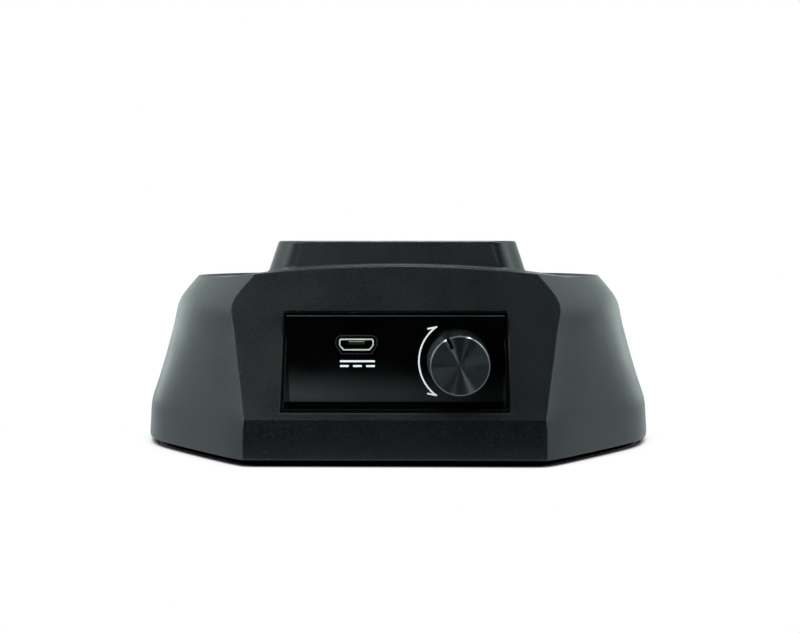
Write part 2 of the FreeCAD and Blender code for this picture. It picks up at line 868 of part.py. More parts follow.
def make_speed_knob():
    rear = knob_gap
    front = knob_gap + knob_length
    body = spun([(0, rear), (knob_base_radius - knob_rear_edge, rear),
                 (knob_base_radius, rear + knob_rear_edge),
                 (knob_face_radius, front - knob_chamfer), (knob_face_radius - knob_chamfer, front),
                 (0, front)])
    cuts = [rod(knob_cavity_radius, rear - 1.0, rear + knob_cavity_depth)]
    cuts.append(rod(insert_radius, rear, front - knob_front_wall))
    inner_end = knob_face_radius - pointer_length
    half = pointer_width / 2.0
    cuts.append(block(-half, half, inner_end, far, front - pointer_depth, front + 1.0))
    return on_panel(turned(without(body, cuts), knob_rest_angle), knob_offset, knob_height)


# ---- Motor ----
def make_motor_can():
    inner = motor_radius - motor_can_sheet
    roof_low = bracket_height - motor_can_sheet
    can = rod(motor_radius, can_low, bracket_height).cut(rod(inner, can_low - 1.0, roof_low))
    neck = rod(bearing_housing_radius, roof_low, bracket_height + bearing_housing_height)
    can = joined([can, neck])
    cuts = [rod(bearing_radius, roof_low - 1.0, roof_low + bearing_length)]
    cuts.append(rod(motor_shaft_radius + can_hole_gap, 0, far))
    for side in (-1, 1):
        cuts.append(rod(motor_screw_radius + thread_gap, 0, far, side * motor_screw_offset))
    return without(can, cuts)


def bearing_low():
    return bracket_height - motor_can_sheet


def make_upper_bearing():
    low = bearing_low()
    return ring(bearing_radius, motor_shaft_radius + motor_shaft_gap, low, low + bearing_length)


def make_lower_bearing():
    low = cap_low - bearing_seat
    return ring(bearing_radius, motor_shaft_radius + motor_shaft_gap, low, low + bearing_length)


def make_motor_end_cap():
    inner = motor_radius - motor_can_sheet
    cap = rod(motor_radius, cap_low, can_low)
    spigot = rod(inner - cap_spigot_gap, cap_low, can_low + cap_spigot)
    neck = rod(bearing_radius + cap_neck_wall, cap_low - cap_neck_height, can_low)
    cap = joined([cap, spigot, neck])
    cuts = [rod(bearing_radius, cap_low - bearing_seat, far)]
    for side in (-1, 1):
        x = side * tab_offset
        cuts.append(block(x - tab_width / 2.0, x + tab_width / 2.0, -tab_thickness / 2.0, tab_thickness / 2.0,
                          -far, far))
    return without(cap, cuts)


def brush_low():
    return can_low + brush_lift


def make_motor_brushes():
    inner = commutator_radius + brush_gap
    solids = []
    for side in (-1, 1):
        ends = sorted((side * inner, side * (inner + brush_length)))
        solids.append(block(ends[0], ends[1], -brush_size / 2.0, brush_size / 2.0, brush_low(),
                            brush_low() + brush_size))
    return Part.makeCompound(solids)


def make_motor_terminals():
    # each tab runs from below the cap to the outer end of its brush
    solids = []
    inner = commutator_radius + brush_gap + brush_length
    for side in (-1, 1):
        x = side * tab_offset
        tab = block(x - tab_width / 2.0, x + tab_width / 2.0, -tab_thickness / 2.0, tab_thickness / 2.0,
                    cap_low - tab_length, brush_low() + brush_size)
        ends = sorted((side * inner, side * (tab_offset - tab_width / 2.0)))
        arm = block(ends[0], ends[1], -tab_thickness / 2.0, tab_thickness / 2.0, brush_low(),
                    brush_low() + brush_size)
        solids.append(joined([tab, arm]))
    return Part.makeCompound(solids)


def field_middle():
    return (can_low + brush_size + field_lift + bracket_height - motor_can_sheet) / 2.0


def make_field_magnets():
    outer = motor_radius - motor_can_sheet
    tube_low = field_middle() - field_magnet_height / 2.0
    tube = ring(outer, outer - field_magnet_thickness, tube_low, tube_low + field_magnet_height)
    half = radians(field_magnet_angle / 2.0)
    wedge = [(0, 0), (far * cos(half), -far * sin(half)), (far, 0), (far * cos(half), far * sin(half))]
    right = tube.common(prism(wedge, 0, far))
    left = turned(right.copy(), 180)
    pair = Part.makeCompound([right, left])
    return turned(pair, 90)


def armature_radius():
    return motor_radius - motor_can_sheet - field_magnet_thickness - armature_gap


def make_armature_core():
    low = field_middle() - armature_height / 2.0
    core = ring(armature_radius(), motor_shaft_radius, low, low + armature_height)
    slots = []
    for index in range(tooth_count):
        slot = block(motor_shaft_radius + winding_core, far, -slot_width / 2.0, slot_width / 2.0, 0, far)
        slots.append(turned(slot, 360.0 * index / tooth_count))
    return without(core, slots)


def make_windings():
    # one coil round each tooth, above and below the core and down through the slots
    low = field_middle() - armature_height / 2.0 - winding_height
    high = low + armature_height + 2.0 * winding_height
    outer = armature_radius() - winding_step
    inner = motor_shaft_radius + winding_core + winding_gap
    coil = ring(outer, inner, low, high)
    coil = coil.cut(ring(armature_radius(), motor_shaft_radius, low + winding_height, high - winding_height))
    bridges = []
    for index in range(tooth_count):
        bridge = block(inner + winding_gap, outer - winding_gap, -slot_width / 2.0, slot_width / 2.0,
                       low, high)
        bridges.append(turned(bridge, 360.0 * index / tooth_count))
    return joined([coil] + bridges)


def make_commutator():
    low = brush_low() - commutator_overlap
    return ring(commutator_radius, motor_shaft_radius, low, low + commutator_length)


def make_motor_shaft():
    return rod(motor_shaft_radius, cap_low - bearing_seat / 2.0, holder_top)


def make_motor_bracket():
    half_x = hanger_offset_x + bracket_ear
    half_y = hanger_offset_y + bracket_ear
    plate = block(-half_x, half_x, -half_y, half_y, bracket_height, bracket_top)
    corners = edges_in(plate, lambda point, edge: edge.BoundBox.ZLength > bracket_thickness - 0.1)
    plate = plate.makeFillet(bracket_ear * 0.8, corners)
    cuts = [rod(bearing_housing_radius + bracket_fit, 0, far)]
    for side in (-1, 1):
        cuts.append(rod(motor_screw_radius + shank_gap, 0, far, side * motor_screw_offset))
        cuts.append(rod(bracket_window, 0, far, side * (hanger_offset_x - bracket_window_setback)))
    for x, y in hanger_places():
        cuts.append(rod(grommet_groove_radius + grommet_gap, 0, far, x, y))
    return without(plate, cuts)


def make_motor_screws():
    one = screw(motor_screw_radius, bracket_thickness + motor_can_sheet, motor_screw_head,
                motor_screw_head_height)
    one.rotate(Vector(0, 0, 0), Vector(1, 0, 0), 180)
    return copies(one, [(-motor_screw_offset, 0), (motor_screw_offset, 0)], bracket_top)


def make_grommets():
    bore = bracket_screw_radius + shank_gap
    outline = spun([(bore, grommet_low), (grommet_radius, grommet_low),
                    (grommet_radius, bracket_height), (grommet_groove_radius, bracket_height),
                    (grommet_groove_radius, bracket_top), (grommet_radius, bracket_top),
                    (grommet_radius, grommet_top), (bore, grommet_top)])
    return copies(outline, hanger_places(), 0)


def make_bracket_screws():
    length = grommet_top - grommet_low + bracket_screw_grip
    one = screw(bracket_screw_radius, length, bracket_screw_head, bracket_screw_head_height)
    return copies(one, hanger_places(), grommet_low)


# ---- Magnet holder ----
def magnet_places():
    return [(-stir_magnet_offset, 0), (stir_magnet_offset, 0)]


def make_magnet_holder():
    disc = rod(holder_radius, holder_low, holder_top)
    disc = disc.common(block(-far, far, -holder_flat, holder_flat, 0, far))
    hub = rod(hub_radius, hub_low, holder_low)
    holder = joined([disc, hub])
    cuts = [rod(stir_magnet_radius + magnet_pocket_gap, holder_magnet_top - stir_magnet_height, far, x, y)
            for x, y in magnet_places()]
    cuts.append(rod(motor_shaft_radius, 0, far))
    return without(holder, cuts)


def make_yoke_plate():
    half = yoke_width / 2.0
    reach = stir_magnet_offset + stir_magnet_radius - yoke_setback
    strip = block(-reach, reach, -half, half, holder_low - yoke_thickness, holder_low)
    corners = edges_in(strip, lambda point, edge: edge.BoundBox.ZLength > yoke_thickness - 0.1)
    strip = strip.makeFillet(yoke_corner, corners)
    return strip.cut(rod(hub_radius + yoke_gap, 0, far))


def make_stirring_magnets():
    low = holder_magnet_top - stir_magnet_height
    magnet = rod(stir_magnet_radius, low, holder_magnet_top)
    magnet = magnet.makeChamfer(magnet_edge, edges_in(magnet, lambda p, e: p.z > low + 0.5 and e.Closed))
    return copies(magnet, magnet_places(), 0)


# ---- Leads ----
def tube_along(points, radius, bend):
    # straight runs joined by tangent arcs
    edges = []
    start = points[0]
    for before, corner, after in zip(points, points[1:], points[2:]):
        into = (corner - before).normalize()
        out = (after - corner).normalize()
        half_turn = into.getAngle(out) / 2.0
        cut_back = bend * tan(half_turn)
        arc_start = corner - into * cut_back
        arc_end = corner + out * cut_back
        centre_way = (out - into).normalize()
        middle = corner + centre_way * (bend / cos(half_turn) - bend)
        edges.append(Part.LineSegment(start, arc_start).toShape())
        edges.append(Part.Arc(arc_start, middle, arc_end).toShape())
        start = arc_end
    edges.append(Part.LineSegment(start, points[-1]).toShape())
    path = Part.Wire(edges)
    way = (points[1] - points[0]).normalize()
    profile = Part.Wire(Part.makeCircle(radius, points[0], way))
    return path.makePipeShell([profile], True, False)


def make_lead(side):
    start = Vector(plug_offset + side * lead_spread, -board_back + plug_depth, plug_place)
    join_height = cap_low - tab_length + lead_join
    end = Vector(side * tab_offset, -tab_thickness / 2.0, join_height)
    first = start + Vector(0, lead_run, 0)
    second = Vector(end.x, -motor_radius - lead_clearance, join_height)
    return tube_along([start, first, second, end], lead_radius, lead_bend)


# ---- All pieces ----
save("top_housing", make_top_housing())
save("base_plate", make_base_plate())
save("base_screws", make_base_screws())
save("rubber_feet", make_rubber_feet())
save("control_panel", make_control_panel())
save("panel_screws", make_panel_screws())
save("socket_shell", make_socket_shell())
save("socket_tongue", make_socket_tongue())
save("socket_contacts", make_socket_contacts())
save("control_board", make_control_board())
save("board_screws", make_board_screws())
save("driver_chip", make_driver_chip())
save("filter_capacitor", make_capacitor())
save("power_coil", make_power_coil())
save("motor_plug", make_motor_plug())
save("pot_housing", make_pot_housing())
save("pot_bushing", make_pot_bushing())
save("pot_washer", make_pot_washer())
save("pot_nut", make_pot_nut())
save("pot_pins", make_pot_pins())
save("pot_shaft", make_pot_shaft())
save("pot_wiper", make_pot_wiper())
save("knob_insert", make_knob_insert())
save("speed_knob", make_speed_knob())
save("motor_can", make_motor_can())
save("motor_end_cap", make_motor_end_cap())
save("upper_bearing", make_upper_bearing())
save("lower_bearing", make_lower_bearing())
save("field_magnets", make_field_magnets())
save("motor_brushes", make_motor_brushes())
save("motor_terminals", make_motor_terminals())
save("motor_bracket", make_motor_bracket())
save("motor_screws", make_motor_screws())
save("rubber_grommets", make_grommets())
save("bracket_screws", make_bracket_screws())
save("armature_core", make_armature_core())
save("armature_windings", make_windings())
save("commutator", make_commutator())
save("motor_shaft", make_motor_shaft())
save("magnet_holder", make_magnet_holder())
save("yoke_plate", make_yoke_plate())
save("stirring_magnets", make_stirring_magnets())
save("motor_lead_left", make_lead(-1))
save("motor_lead_right", make_lead(1))
print("drive axis at y =", round(centre_shift, 3))
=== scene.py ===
import bpy, bmesh, math
from mathutils import Matrix, Vector


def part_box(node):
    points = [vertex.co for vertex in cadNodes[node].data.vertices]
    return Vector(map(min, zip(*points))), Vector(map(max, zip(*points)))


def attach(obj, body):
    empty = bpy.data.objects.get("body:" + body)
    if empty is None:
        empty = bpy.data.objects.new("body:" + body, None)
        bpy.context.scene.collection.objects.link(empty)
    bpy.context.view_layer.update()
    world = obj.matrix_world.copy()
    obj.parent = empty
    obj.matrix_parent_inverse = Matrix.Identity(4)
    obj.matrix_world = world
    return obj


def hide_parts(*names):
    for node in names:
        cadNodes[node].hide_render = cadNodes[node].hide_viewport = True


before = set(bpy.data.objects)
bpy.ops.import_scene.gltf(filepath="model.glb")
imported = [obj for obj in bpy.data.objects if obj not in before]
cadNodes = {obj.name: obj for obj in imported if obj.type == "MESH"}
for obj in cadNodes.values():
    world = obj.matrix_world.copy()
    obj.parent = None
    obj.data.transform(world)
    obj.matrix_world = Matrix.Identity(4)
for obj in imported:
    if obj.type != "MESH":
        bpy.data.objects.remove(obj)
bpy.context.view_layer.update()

mm = 0.001
knobClearance = 0.4 * mm
knobLow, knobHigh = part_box("speed_knob")
knobAxis = Vector(((knobLow.x + knobHigh.x) / 2, 0, (knobLow.z + knobHigh.z) / 2))
panelFrontY = knobHigh.y + knobClearance
shaftLow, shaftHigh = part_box("motor_shaft")
driveAxis = Vector(((shaftLow.x + shaftHigh.x) / 2, (shaftLow.y + shaftHigh.y) / 2, 0))
noiseLow, noiseHigh = 0.32, 0.68      # nearly all of a noise texture lies between these
bandLength = 0.314                    # after this way a wave texture of scale 1 repeats
print("frame loaded,", len(cadNodes), "nodes")


def toLinear(hexColour):
    parts = [int(hexColour[at:at + 2], 16) / 255 for at in (1, 3, 5)]
    return tuple(p / 12.92 if p <= 0.04045 else ((p + 0.055) / 1.055) ** 2.4 for p in parts) + (1.0,)


def pick(sockets, name):
    # a socket by its number, or by its name among the live ones
    if isinstance(name, int):
        return sockets[name]
    return next(s for s in sockets if s.name == name and s.enabled)


def addNode(tree, kind, values=None, links=None, into=None, **settings):
    # one node with its settings, its values, what feeds it and what it feeds
    # where a node is given as a source, it stands for its first live output
    node = tree.nodes.new(kind)
    for name, setting in settings.items():
        setattr(node, name, setting)
    for name, value in (values or {}).items():
        pick(node.inputs, name).default_value = value
    for name, source in (links or {}).items():
        fed = source if hasattr(source, "is_output") else next(s for s in source.outputs if s.enabled)
        tree.links.new(fed, pick(node.inputs, name))
    if into:
        tree.links.new(next(s for s in node.outputs if s.enabled), into)
    return node


def startFinish(name, first, second, roughness, wander=0.06, patch=4 * mm, metallic=0.0, **sockets):
    # two close shades that drift over patches of the given size, and a gloss that wanders with them
    finish = bpy.data.materials.new(name)
    finish.use_nodes = True
    tree = finish.node_tree
    shader = tree.nodes["Principled BSDF"].inputs
    shader["Metallic"].default_value = metallic
    for socket, value in sockets.items():
        shader[socket.replace("_", " ")].default_value = value
    place = addNode(tree, "ShaderNodeTexCoord").outputs["Object"]
    drift = addNode(tree, "ShaderNodeTexNoise", {"Scale": 1 / patch, "Detail": 3.0}, {"Vector": place})
    share = addNode(tree, "ShaderNodeMapRange", {"From Min": noiseLow, "From Max": noiseHigh},
                    {"Value": drift})
    addNode(tree, "ShaderNodeMix", {"A": toLinear(first), "B": toLinear(second)}, {"Factor": share},
            shader["Base Color"], data_type="RGBA")
    haze = addNode(tree, "ShaderNodeTexNoise", {"Scale": 1.7 / patch, "Detail": 3.0}, {"Vector": place})
    addNode(tree, "ShaderNodeMapRange",
            {"From Min": noiseLow, "From Max": noiseHigh, "To Min": roughness - wander,
             "To Max": roughness + wander}, {"Value": haze}, shader["Roughness"])
    return finish, tree, shader, place


def mouldedPlastic(name, first, second, roughness, grain, depth, edge=0.15 * mm, peak=None, **others):
    # a fine pebble from the mould, paler on its peaks if a peak colour is given, and slightly round edges
    finish, tree, shader, place = startFinish(name, first, second, roughness, **others)
    pebble = addNode(tree, "ShaderNodeTexNoise", {"Scale": 1 / grain, "Detail": 1.0}, {"Vector": place})
    if peak:
        high = addNode(tree, "ShaderNodeMapRange", {"From Min": 0.48, "From Max": 0.68}, {"Value": pebble})
        recolour(tree, shader, high, peak)
    rounding = addNode(tree, "ShaderNodeBevel", {"Radius": edge}, samples=6)
    addNode(tree, "ShaderNodeBump", {"Distance": depth}, {"Height": pebble, "Normal": rounding},
            shader["Normal"])
    return finish, tree, shader, place


def platedMetal(name, first, second, roughness, depth=0.004 * mm, edge=0.08 * mm, grain=0.3 * mm, **others):
    # bright metal with a faint unevenness under the plating
    finish, tree, shader, place = startFinish(name, first, second, roughness, metallic=1.0, **others)
    skin = addNode(tree, "ShaderNodeTexNoise", {"Scale": 1 / grain, "Detail": 3.0}, {"Vector": place})
    rounding = addNode(tree, "ShaderNodeBevel", {"Radius": edge}, samples=6)
    addNode(tree, "ShaderNodeBump", {"Distance": depth}, {"Height": skin, "Normal": rounding},
            shader["Normal"])
    return finish, tree, shader, place


def linedMetal(name, first, second, roughness, centre, turn, pitch, depth, **others):
    # fine lines from turning, grinding or rolling, that follow each other along the turned X
    finish, tree, shader, place = startFinish(name, first, second, roughness, metallic=1.0, **others)
    moved = addNode(tree, "ShaderNodeVectorMath", {1: centre}, {0: place}, operation="SUBTRACT")
    turned = addNode(tree, "ShaderNodeMapping", {"Rotation": turn}, {"Vector": moved})
    lines = addNode(tree, "ShaderNodeTexWave",
                    {"Scale": bandLength / pitch, "Distortion": 0.6, "Detail": 2.0}, {"Vector": turned},
                    wave_type="BANDS", bands_direction="X")
    addNode(tree, "ShaderNodeBump", {"Distance": depth}, {"Height": lines.outputs["Fac"]}, shader["Normal"])
    return finish, tree, shader, place


def setRamp(ramp, steps, tint=(1.0, 1.0, 1.0)):
    # a brightness at each place along a colour ramp
    elements = ramp.color_ramp.elements
    while len(elements) < len(steps):
        elements.new(0.5)
    for element, (place, bright) in zip(elements, steps):
        element.position = place
        element.color = (bright * tint[0], bright * tint[1], bright * tint[2], 1)


def insideBox(tree, place, low, high):
    # 1 between two corners of the piece's space and 0 outside them
    inside = None
    axes = addNode(tree, "ShaderNodeSeparateXYZ", {}, {"Vector": place})
    for corner, test in ((low, "GREATER_THAN"), (high, "LESS_THAN")):
        for axis in range(3):
            if corner[axis] is None:
                continue
            past = addNode(tree, "ShaderNodeMath", {1: corner[axis]}, {0: axes.outputs[axis]}, operation=test)
            if inside:
                past = addNode(tree, "ShaderNodeMath", {}, {0: inside, 1: past}, operation="MULTIPLY")
            inside = past
    return inside


def recolour(tree, shader, share, colour, metallic=None, roughness=None):
    # another material over part of the surface, such as tinned legs on a chip
    before = shader["Base Color"].links[0].from_socket
    addNode(tree, "ShaderNodeMix", {"B": toLinear(colour)}, {"Factor": share, "A": before},
            shader["Base Color"], data_type="RGBA")
    if metallic is not None:
        addNode(tree, "ShaderNodeMath", {1: metallic}, {0: share}, shader["Metallic"], operation="MULTIPLY")
    if roughness is not None:
        rough = shader["Roughness"].links[0].from_socket
        addNode(tree, "ShaderNodeMix", {"B": roughness}, {"Factor": share, "A": rough}, shader["Roughness"])


def dress(made, *nodes):
    for node in nodes:
        mesh = cadNodes[node].data
        mesh.materials.clear()
        mesh.materials.append(made[0])


def newPiece(name, mesh, finishes, body, stands=()):
    piece = bpy.data.objects.new(name, mesh)
    bpy.context.scene.collection.objects.link(piece)
    for finish in finishes:
        mesh.materials.append(finish)
    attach(piece, body)
    if stands:
        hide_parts(*stands)
    return piece


def toMesh(name, shape):
    mesh = bpy.data.meshes.new(name)
    shape.to_mesh(mesh)
    shape.free()
    return mesh


def shadeByAngle(mesh, degrees):
    mesh.shade_smooth()
    mesh.set_sharp_from_angle(angle=math.radians(degrees))


# ABS moulded against a spark-eroded tool: dull cool charcoal, its fine pebble turns every highlight to sand
# the real pebble is finer, drawn as wide as the eye can still tell
casing = {"grain": 0.38 * mm, "depth": 0.014 * mm, "edge": 0.55 * mm, "patch": 14 * mm,
          "openingLow": (-24.56 * mm, None, 11.39 * mm), "openingHigh": (24.56 * mm, -10 * mm, 32.66 * mm)}
casingAbs = mouldedPlastic("casingSparkErodedAbs", "#08090b", "#0c0e10", 0.31, casing["grain"],
                           casing["depth"], edge=casing["edge"], patch=casing["patch"], wander=0.025,
                           peak="#191d1f")
# the cut edge of the opening is matt, and painted blacker than the casing as painted shade in the gap round
# the panel
openingEdgePaintedShade = insideBox(casingAbs[1], casingAbs[3], casing["openingLow"], casing["openingHigh"])
recolour(*casingAbs[1:3], openingEdgePaintedShade, "#050505", roughness=0.9)
# the same plastic from a smoother tool, hidden underneath: a little glossier and blacker
baseAbs = mouldedPlastic("baseMouldedAbs", "#1a1b1d", "#202224", 0.5, 0.5 * mm, 0.006 * mm, patch=12 * mm)
# soft rubber, cut and stuck on: black and almost without gloss, with a dusty bloom
footRubber = mouldedPlastic("footMouldedRubber", "#151515", "#2a2a29", 0.82, 0.4 * mm, 0.02 * mm,
                            patch=3 * mm)
# rubber rings that hold the motor bracket, softer still and slightly waxy
grommetRubber = mouldedPlastic("grommetRubber", "#1a1a1b", "#26262a", 0.72, 0.3 * mm, 0.015 * mm,
                               patch=2 * mm)
dress(casingAbs, "top_housing")
dress(baseAbs, "base_plate")
dress(footRubber, "rubber_feet")
dress(grommetRubber, "rubber_grommets")
print("casing finished")

# polished black ABS: a mirror-like skin that shows only what stands before it, with faint wiping haze
panel = {"wave": 6 * mm, "waveDepth": 0.0015 * mm, "edge": 0.06 * mm, "patch": 18 * mm,
         "half": 23.73 * mm, "liner": 0.62 * mm, "skin": 0.2 * mm, "highlightTall": 0.11 * mm}
panelGloss, panelTree, panelShader, panelPlace = startFinish(
    "panelPolishedAbs", "#020203", "#050506", 0.07, wander=0.03, patch=panel["patch"],
    Specular_IOR_Level=0.85)
panelWave = addNode(panelTree, "ShaderNodeTexNoise", {"Scale": 1 / panel["wave"], "Detail": 1.0},
                    {"Vector": panelPlace})
panelRounding = addNode(panelTree, "ShaderNodeBevel", {"Radius": panel["edge"]}, samples=8)
addNode(panelTree, "ShaderNodeBump", {"Distance": panel["waveDepth"]},
        {"Height": panelWave, "Normal": panelRounding}, panelShader["Normal"])
# the liner round the polished face, and all behind it, is less sharp and painted blacker: painted shade in
# the gap round the polished face
panelLow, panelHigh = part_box("control_panel")
glossLow, glossHigh = panelLow.z + panel["liner"], panelHigh.z - panel["liner"]
glossBack = panelFrontY + panel["skin"]
polished = insideBox(panelTree, panelPlace, (-panel["half"], None, glossLow),
                     (panel["half"], glossBack, glossHigh))
linerPaintedShade = addNode(panelTree, "ShaderNodeMath", {0: 1.0}, {1: polished}, operation="SUBTRACT")
recolour(panelTree, panelShader, linerPaintedShade, "#010101", roughness=0.15)
# a pale line painted along the upper edge of the polished face: a painted highlight where that edge catches
# the light from above
polishedTopHighlight = insideBox(panelTree, panelPlace, (-panel["half"], None, glossHigh - panel["highlightTall"]),
                 (panel["half"], glossBack, glossHigh))
recolour(panelTree, panelShader, polishedTopHighlight, "#5c5f61", roughness=0.5)
dress((panelGloss,), "control_panel")

# screen-printed white ink: dead flat, chalky, a hair above the panel, given a faint glow that is painted
# light to lift it
printWhite = mouldedPlastic("panelScreenPrint", "#fbfdfd", "#f1f4f4", 0.6, 0.1 * mm, 0.002 * mm, patch=2 * mm,
                            edge=0.01 * mm, Emission_Color=toLinear("#f4f8ff"), Emission_Strength=0.32)
printSettings = {"thick": 0.02 * mm, "stroke": 0.35 * mm,
                 "arcX": 14.4 * mm, "arcZ": 21.9 * mm, "arcRadius": 9.3 * mm, "arcHalf": 53.6, "arcSteps": 56,
                 "barbRun": 2.12 * mm, "barbDrop": 0.44 * mm,
                 "markX": -8.3 * mm, "markZ": 21.35 * mm, "markWide": 7.6 * mm, "markTall": 0.42 * mm,
                 "markGap": 1.05 * mm, "dash": 1.9 * mm}


def flatBar(shape, middle, length, width, tilt, thick):
    # a thin bar of ink lying on the panel's front
    made = bmesh.ops.create_cube(shape, size=1.0)["verts"]
    bmesh.ops.scale(shape, vec=(length, thick, width), verts=made)
    bmesh.ops.rotate(shape, cent=(0, 0, 0), matrix=Matrix.Rotation(tilt, 3, "Y"), verts=made)
    bmesh.ops.translate(shape, vec=(middle[0], panelFrontY - thick / 2, middle[1]), verts=made)


def makeSpeedArc(s):
    shape = bmesh.new()
    centre = Vector((s["arcX"], panelFrontY, s["arcZ"]))
    start = Matrix.Rotation(math.radians(180 - s["arcHalf"]), 3, "Y")
    ends = []
    for reach in (-0.5, 0.5):
        for out in (0.0, -s["thick"]):
            arm = Vector((s["arcRadius"] + reach * s["stroke"], 0, 0))
            ends.append(shape.verts.new(centre + start @ arm + Vector((0, out, 0))))
    section = shape.faces.new((ends[0], ends[1], ends[3], ends[2]))
    bmesh.ops.spin(shape, geom=[section], cent=centre, axis=(0, 1, 0), angle=math.radians(2 * s["arcHalf"]),
                   steps=s["arcSteps"], use_duplicate=False)
    for up in (1, -1):
        tipX = s["arcX"] - s["arcRadius"] * math.cos(math.radians(s["arcHalf"]))
        tipZ = s["arcZ"] + up * s["arcRadius"] * math.sin(math.radians(s["arcHalf"]))
        length = math.hypot(s["barbRun"], s["barbDrop"])
        tilt = up * -math.atan2(s["barbDrop"], s["barbRun"])
        middle = (tipX - s["barbRun"] / 2 + s["stroke"] / 2, tipZ - up * s["barbDrop"] / 2)
        flatBar(shape, middle, length, s["stroke"], tilt, s["thick"] * 1.1)
    bmesh.ops.recalc_face_normals(shape, faces=shape.faces)
    return toMesh("speed_arc_print", shape)


def makeSupplyMark(s):
    # the plain sign for direct current: one bar over three dashes
    shape = bmesh.new()
    flatBar(shape, (s["markX"], s["markZ"] + s["markGap"] / 2), s["markWide"], s["markTall"], 0.0, s["thick"])
    for side in (-1, 0, 1):
        place = (s["markX"] + side * (s["markWide"] - s["dash"]) / 2, s["markZ"] - s["markGap"] / 2)
        flatBar(shape, place, s["dash"], s["markTall"], 0.0, s["thick"])
    return toMesh("supply_mark_print", shape)


newPiece("speed_arc_print", makeSpeedArc(printSettings), [printWhite[0]], "base")
newPiece("supply_mark_print", makeSupplyMark(printSettings), [printWhite[0]], "base")
print("panel finished")

# nickel on small steel and brass parts: warm white and clean
nickelPlate = platedMetal("nickelPlate", "#efe9dc", "#e2dacb", 0.24, patch=2 * mm)
socketLow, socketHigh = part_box("socket_shell")
socketMiddle = (socketLow + socketHigh) / 2
socket = {"half": 3.8 * mm, "height": socketHigh.z - socketLow.z, "foot": 2.88 * mm, "knee": 1.35 * mm,
          "corner": 0.55 * mm, "cornerLeast": 0.1 * mm, "cornerSteps": 5,
          "footFollow": 0.6, "kneeFollow": 0.2,      # how far these follow an inset of the outline
          "kneeBend": (0.06, 0.12), "footBend": (0.12, 0.08), "footTrim": 0.1 * mm,
          "wall": 0.31 * mm, "lip": 0.15 * mm, "backWall": 1.0 * mm,
          "cutGap": 0.62 * mm, "cutEdgeHighlight": 0.14 * mm, "cutProud": 0.01 * mm, "shadeStart": 0.45 * mm}


def joinRings(shape, rings):
    # bands of faces between rings of points that follow each other
    for one, two in zip(rings, rings[1:]):
        loops = [shape.edges.get(pair) or shape.edges.new(pair)
                 for ring in (one, two) for pair in zip(ring, ring[1:] + ring[:1])]
        bmesh.ops.bridge_loops(shape, edges=loops)


def socketRing(shape, s, inset, depth):
    # the mouth seen from the front: flat roof with round corners, upright cheeks, sides slanting to the floor
    half, top = s["half"] - inset, s["height"] / 2 - inset
    foot = s["foot"] - inset * s["footFollow"]
    knee = s["height"] / 2 - s["knee"] - inset * s["kneeFollow"]
    corner = max(s["corner"] - inset, s["cornerLeast"])
    slant, drop = half - foot, knee + top
    right = []
    for step in range(s["cornerSteps"] + 1):
        angle = math.radians(90 - 90 * step / s["cornerSteps"])
        right.append((half - corner + corner * math.cos(angle), top - corner + corner * math.sin(angle)))
    right += [(half, knee), (half - s["kneeBend"][0] * slant, knee - s["kneeBend"][1] * drop),
              (foot + s["footBend"][0] * slant, -top + s["footBend"][1] * drop),
              (foot - s["footTrim"], -top)]
    return [shape.verts.new((socketMiddle.x + x, depth, socketMiddle.z + z))
            for x, z in right + [(-x, z) for x, z in reversed(right)]]


def makeSocketShell(s):
    # each ring is an inset and a depth, from the solid back round the outside to the bottom of the mouth
    front, back = socketLow.y, socketHigh.y
    steps = [(0.0, back), (0.0, front + s["lip"]), (s["lip"], front), (s["wall"], front + s["lip"]),
             (s["wall"], back - s["backWall"])]
    shape = bmesh.new()
    joinRings(shape, [socketRing(shape, s, inset, depth) for inset, depth in steps])
    bmesh.ops.holes_fill(shape, edges=[edge for edge in shape.edges if edge.is_boundary])
    bmesh.ops.recalc_face_normals(shape, faces=shape.faces)
    mesh = toMesh("socket_shell_rolled", shape)
    shadeByAngle(mesh, 50)
    return mesh


def makeCutoutEdge(s):
    # the panel's cut-out follows the socket; a thin ring round it shows its broken edge as a fine pale line,
    # a painted highlight
    shape = bmesh.new()
    outs = (s["cutGap"], s["cutGap"] + s["cutEdgeHighlight"])
    joinRings(shape, [socketRing(shape, s, -out, panelFrontY) for out in outs])
    raised = bmesh.ops.extrude_face_region(shape, geom=shape.faces[:])["geom"]
    bmesh.ops.translate(shape, vec=(0, -s["cutProud"], 0),
                        verts=[part for part in raised if isinstance(part, bmesh.types.BMVert)])
    bmesh.ops.recalc_face_normals(shape, faces=shape.faces)
    return toMesh("socket_cutout_edge", shape)


# matt tin-nickel on folded steel: its rolled lip scatters a chalky warm white, and inside the mouth it is
# painted dark as painted shade
shellNickel = platedMetal("socketNickelPlate", "#fffaf0", "#f8f2e6", 0.42, patch=2 * mm, edge=0.02 * mm)
shellNickel[2]["Metallic"].default_value = 0.2
# painted shade inside the mouth, from just behind the lip
shadeFront = socketLow.y + socket["shadeStart"]
mouthPaintedShade = insideBox(shellNickel[1], shellNickel[3], (None, shadeFront, None), (None, None, None))
recolour(*shellNickel[1:3], mouthPaintedShade, "#22201d", roughness=0.7)
newPiece("socket_shell_rolled", makeSocketShell(socket), [shellNickel[0]], "base",
         ["socket_shell"])
# matt, and painted a touch paler than the gloss round it: a painted highlight on the cut-out's edge
cutEdgeHighlight = mouldedPlastic("panelCutEdgePaintedHighlight", "#2c2d2e", "#38393a", 0.5, 0.2 * mm, 0.002 * mm, patch=1.5 * mm,
                         edge=0.01 * mm)
newPiece("socket_cutout_edge", makeCutoutEdge(socket), [cutEdgeHighlight[0]], "base")
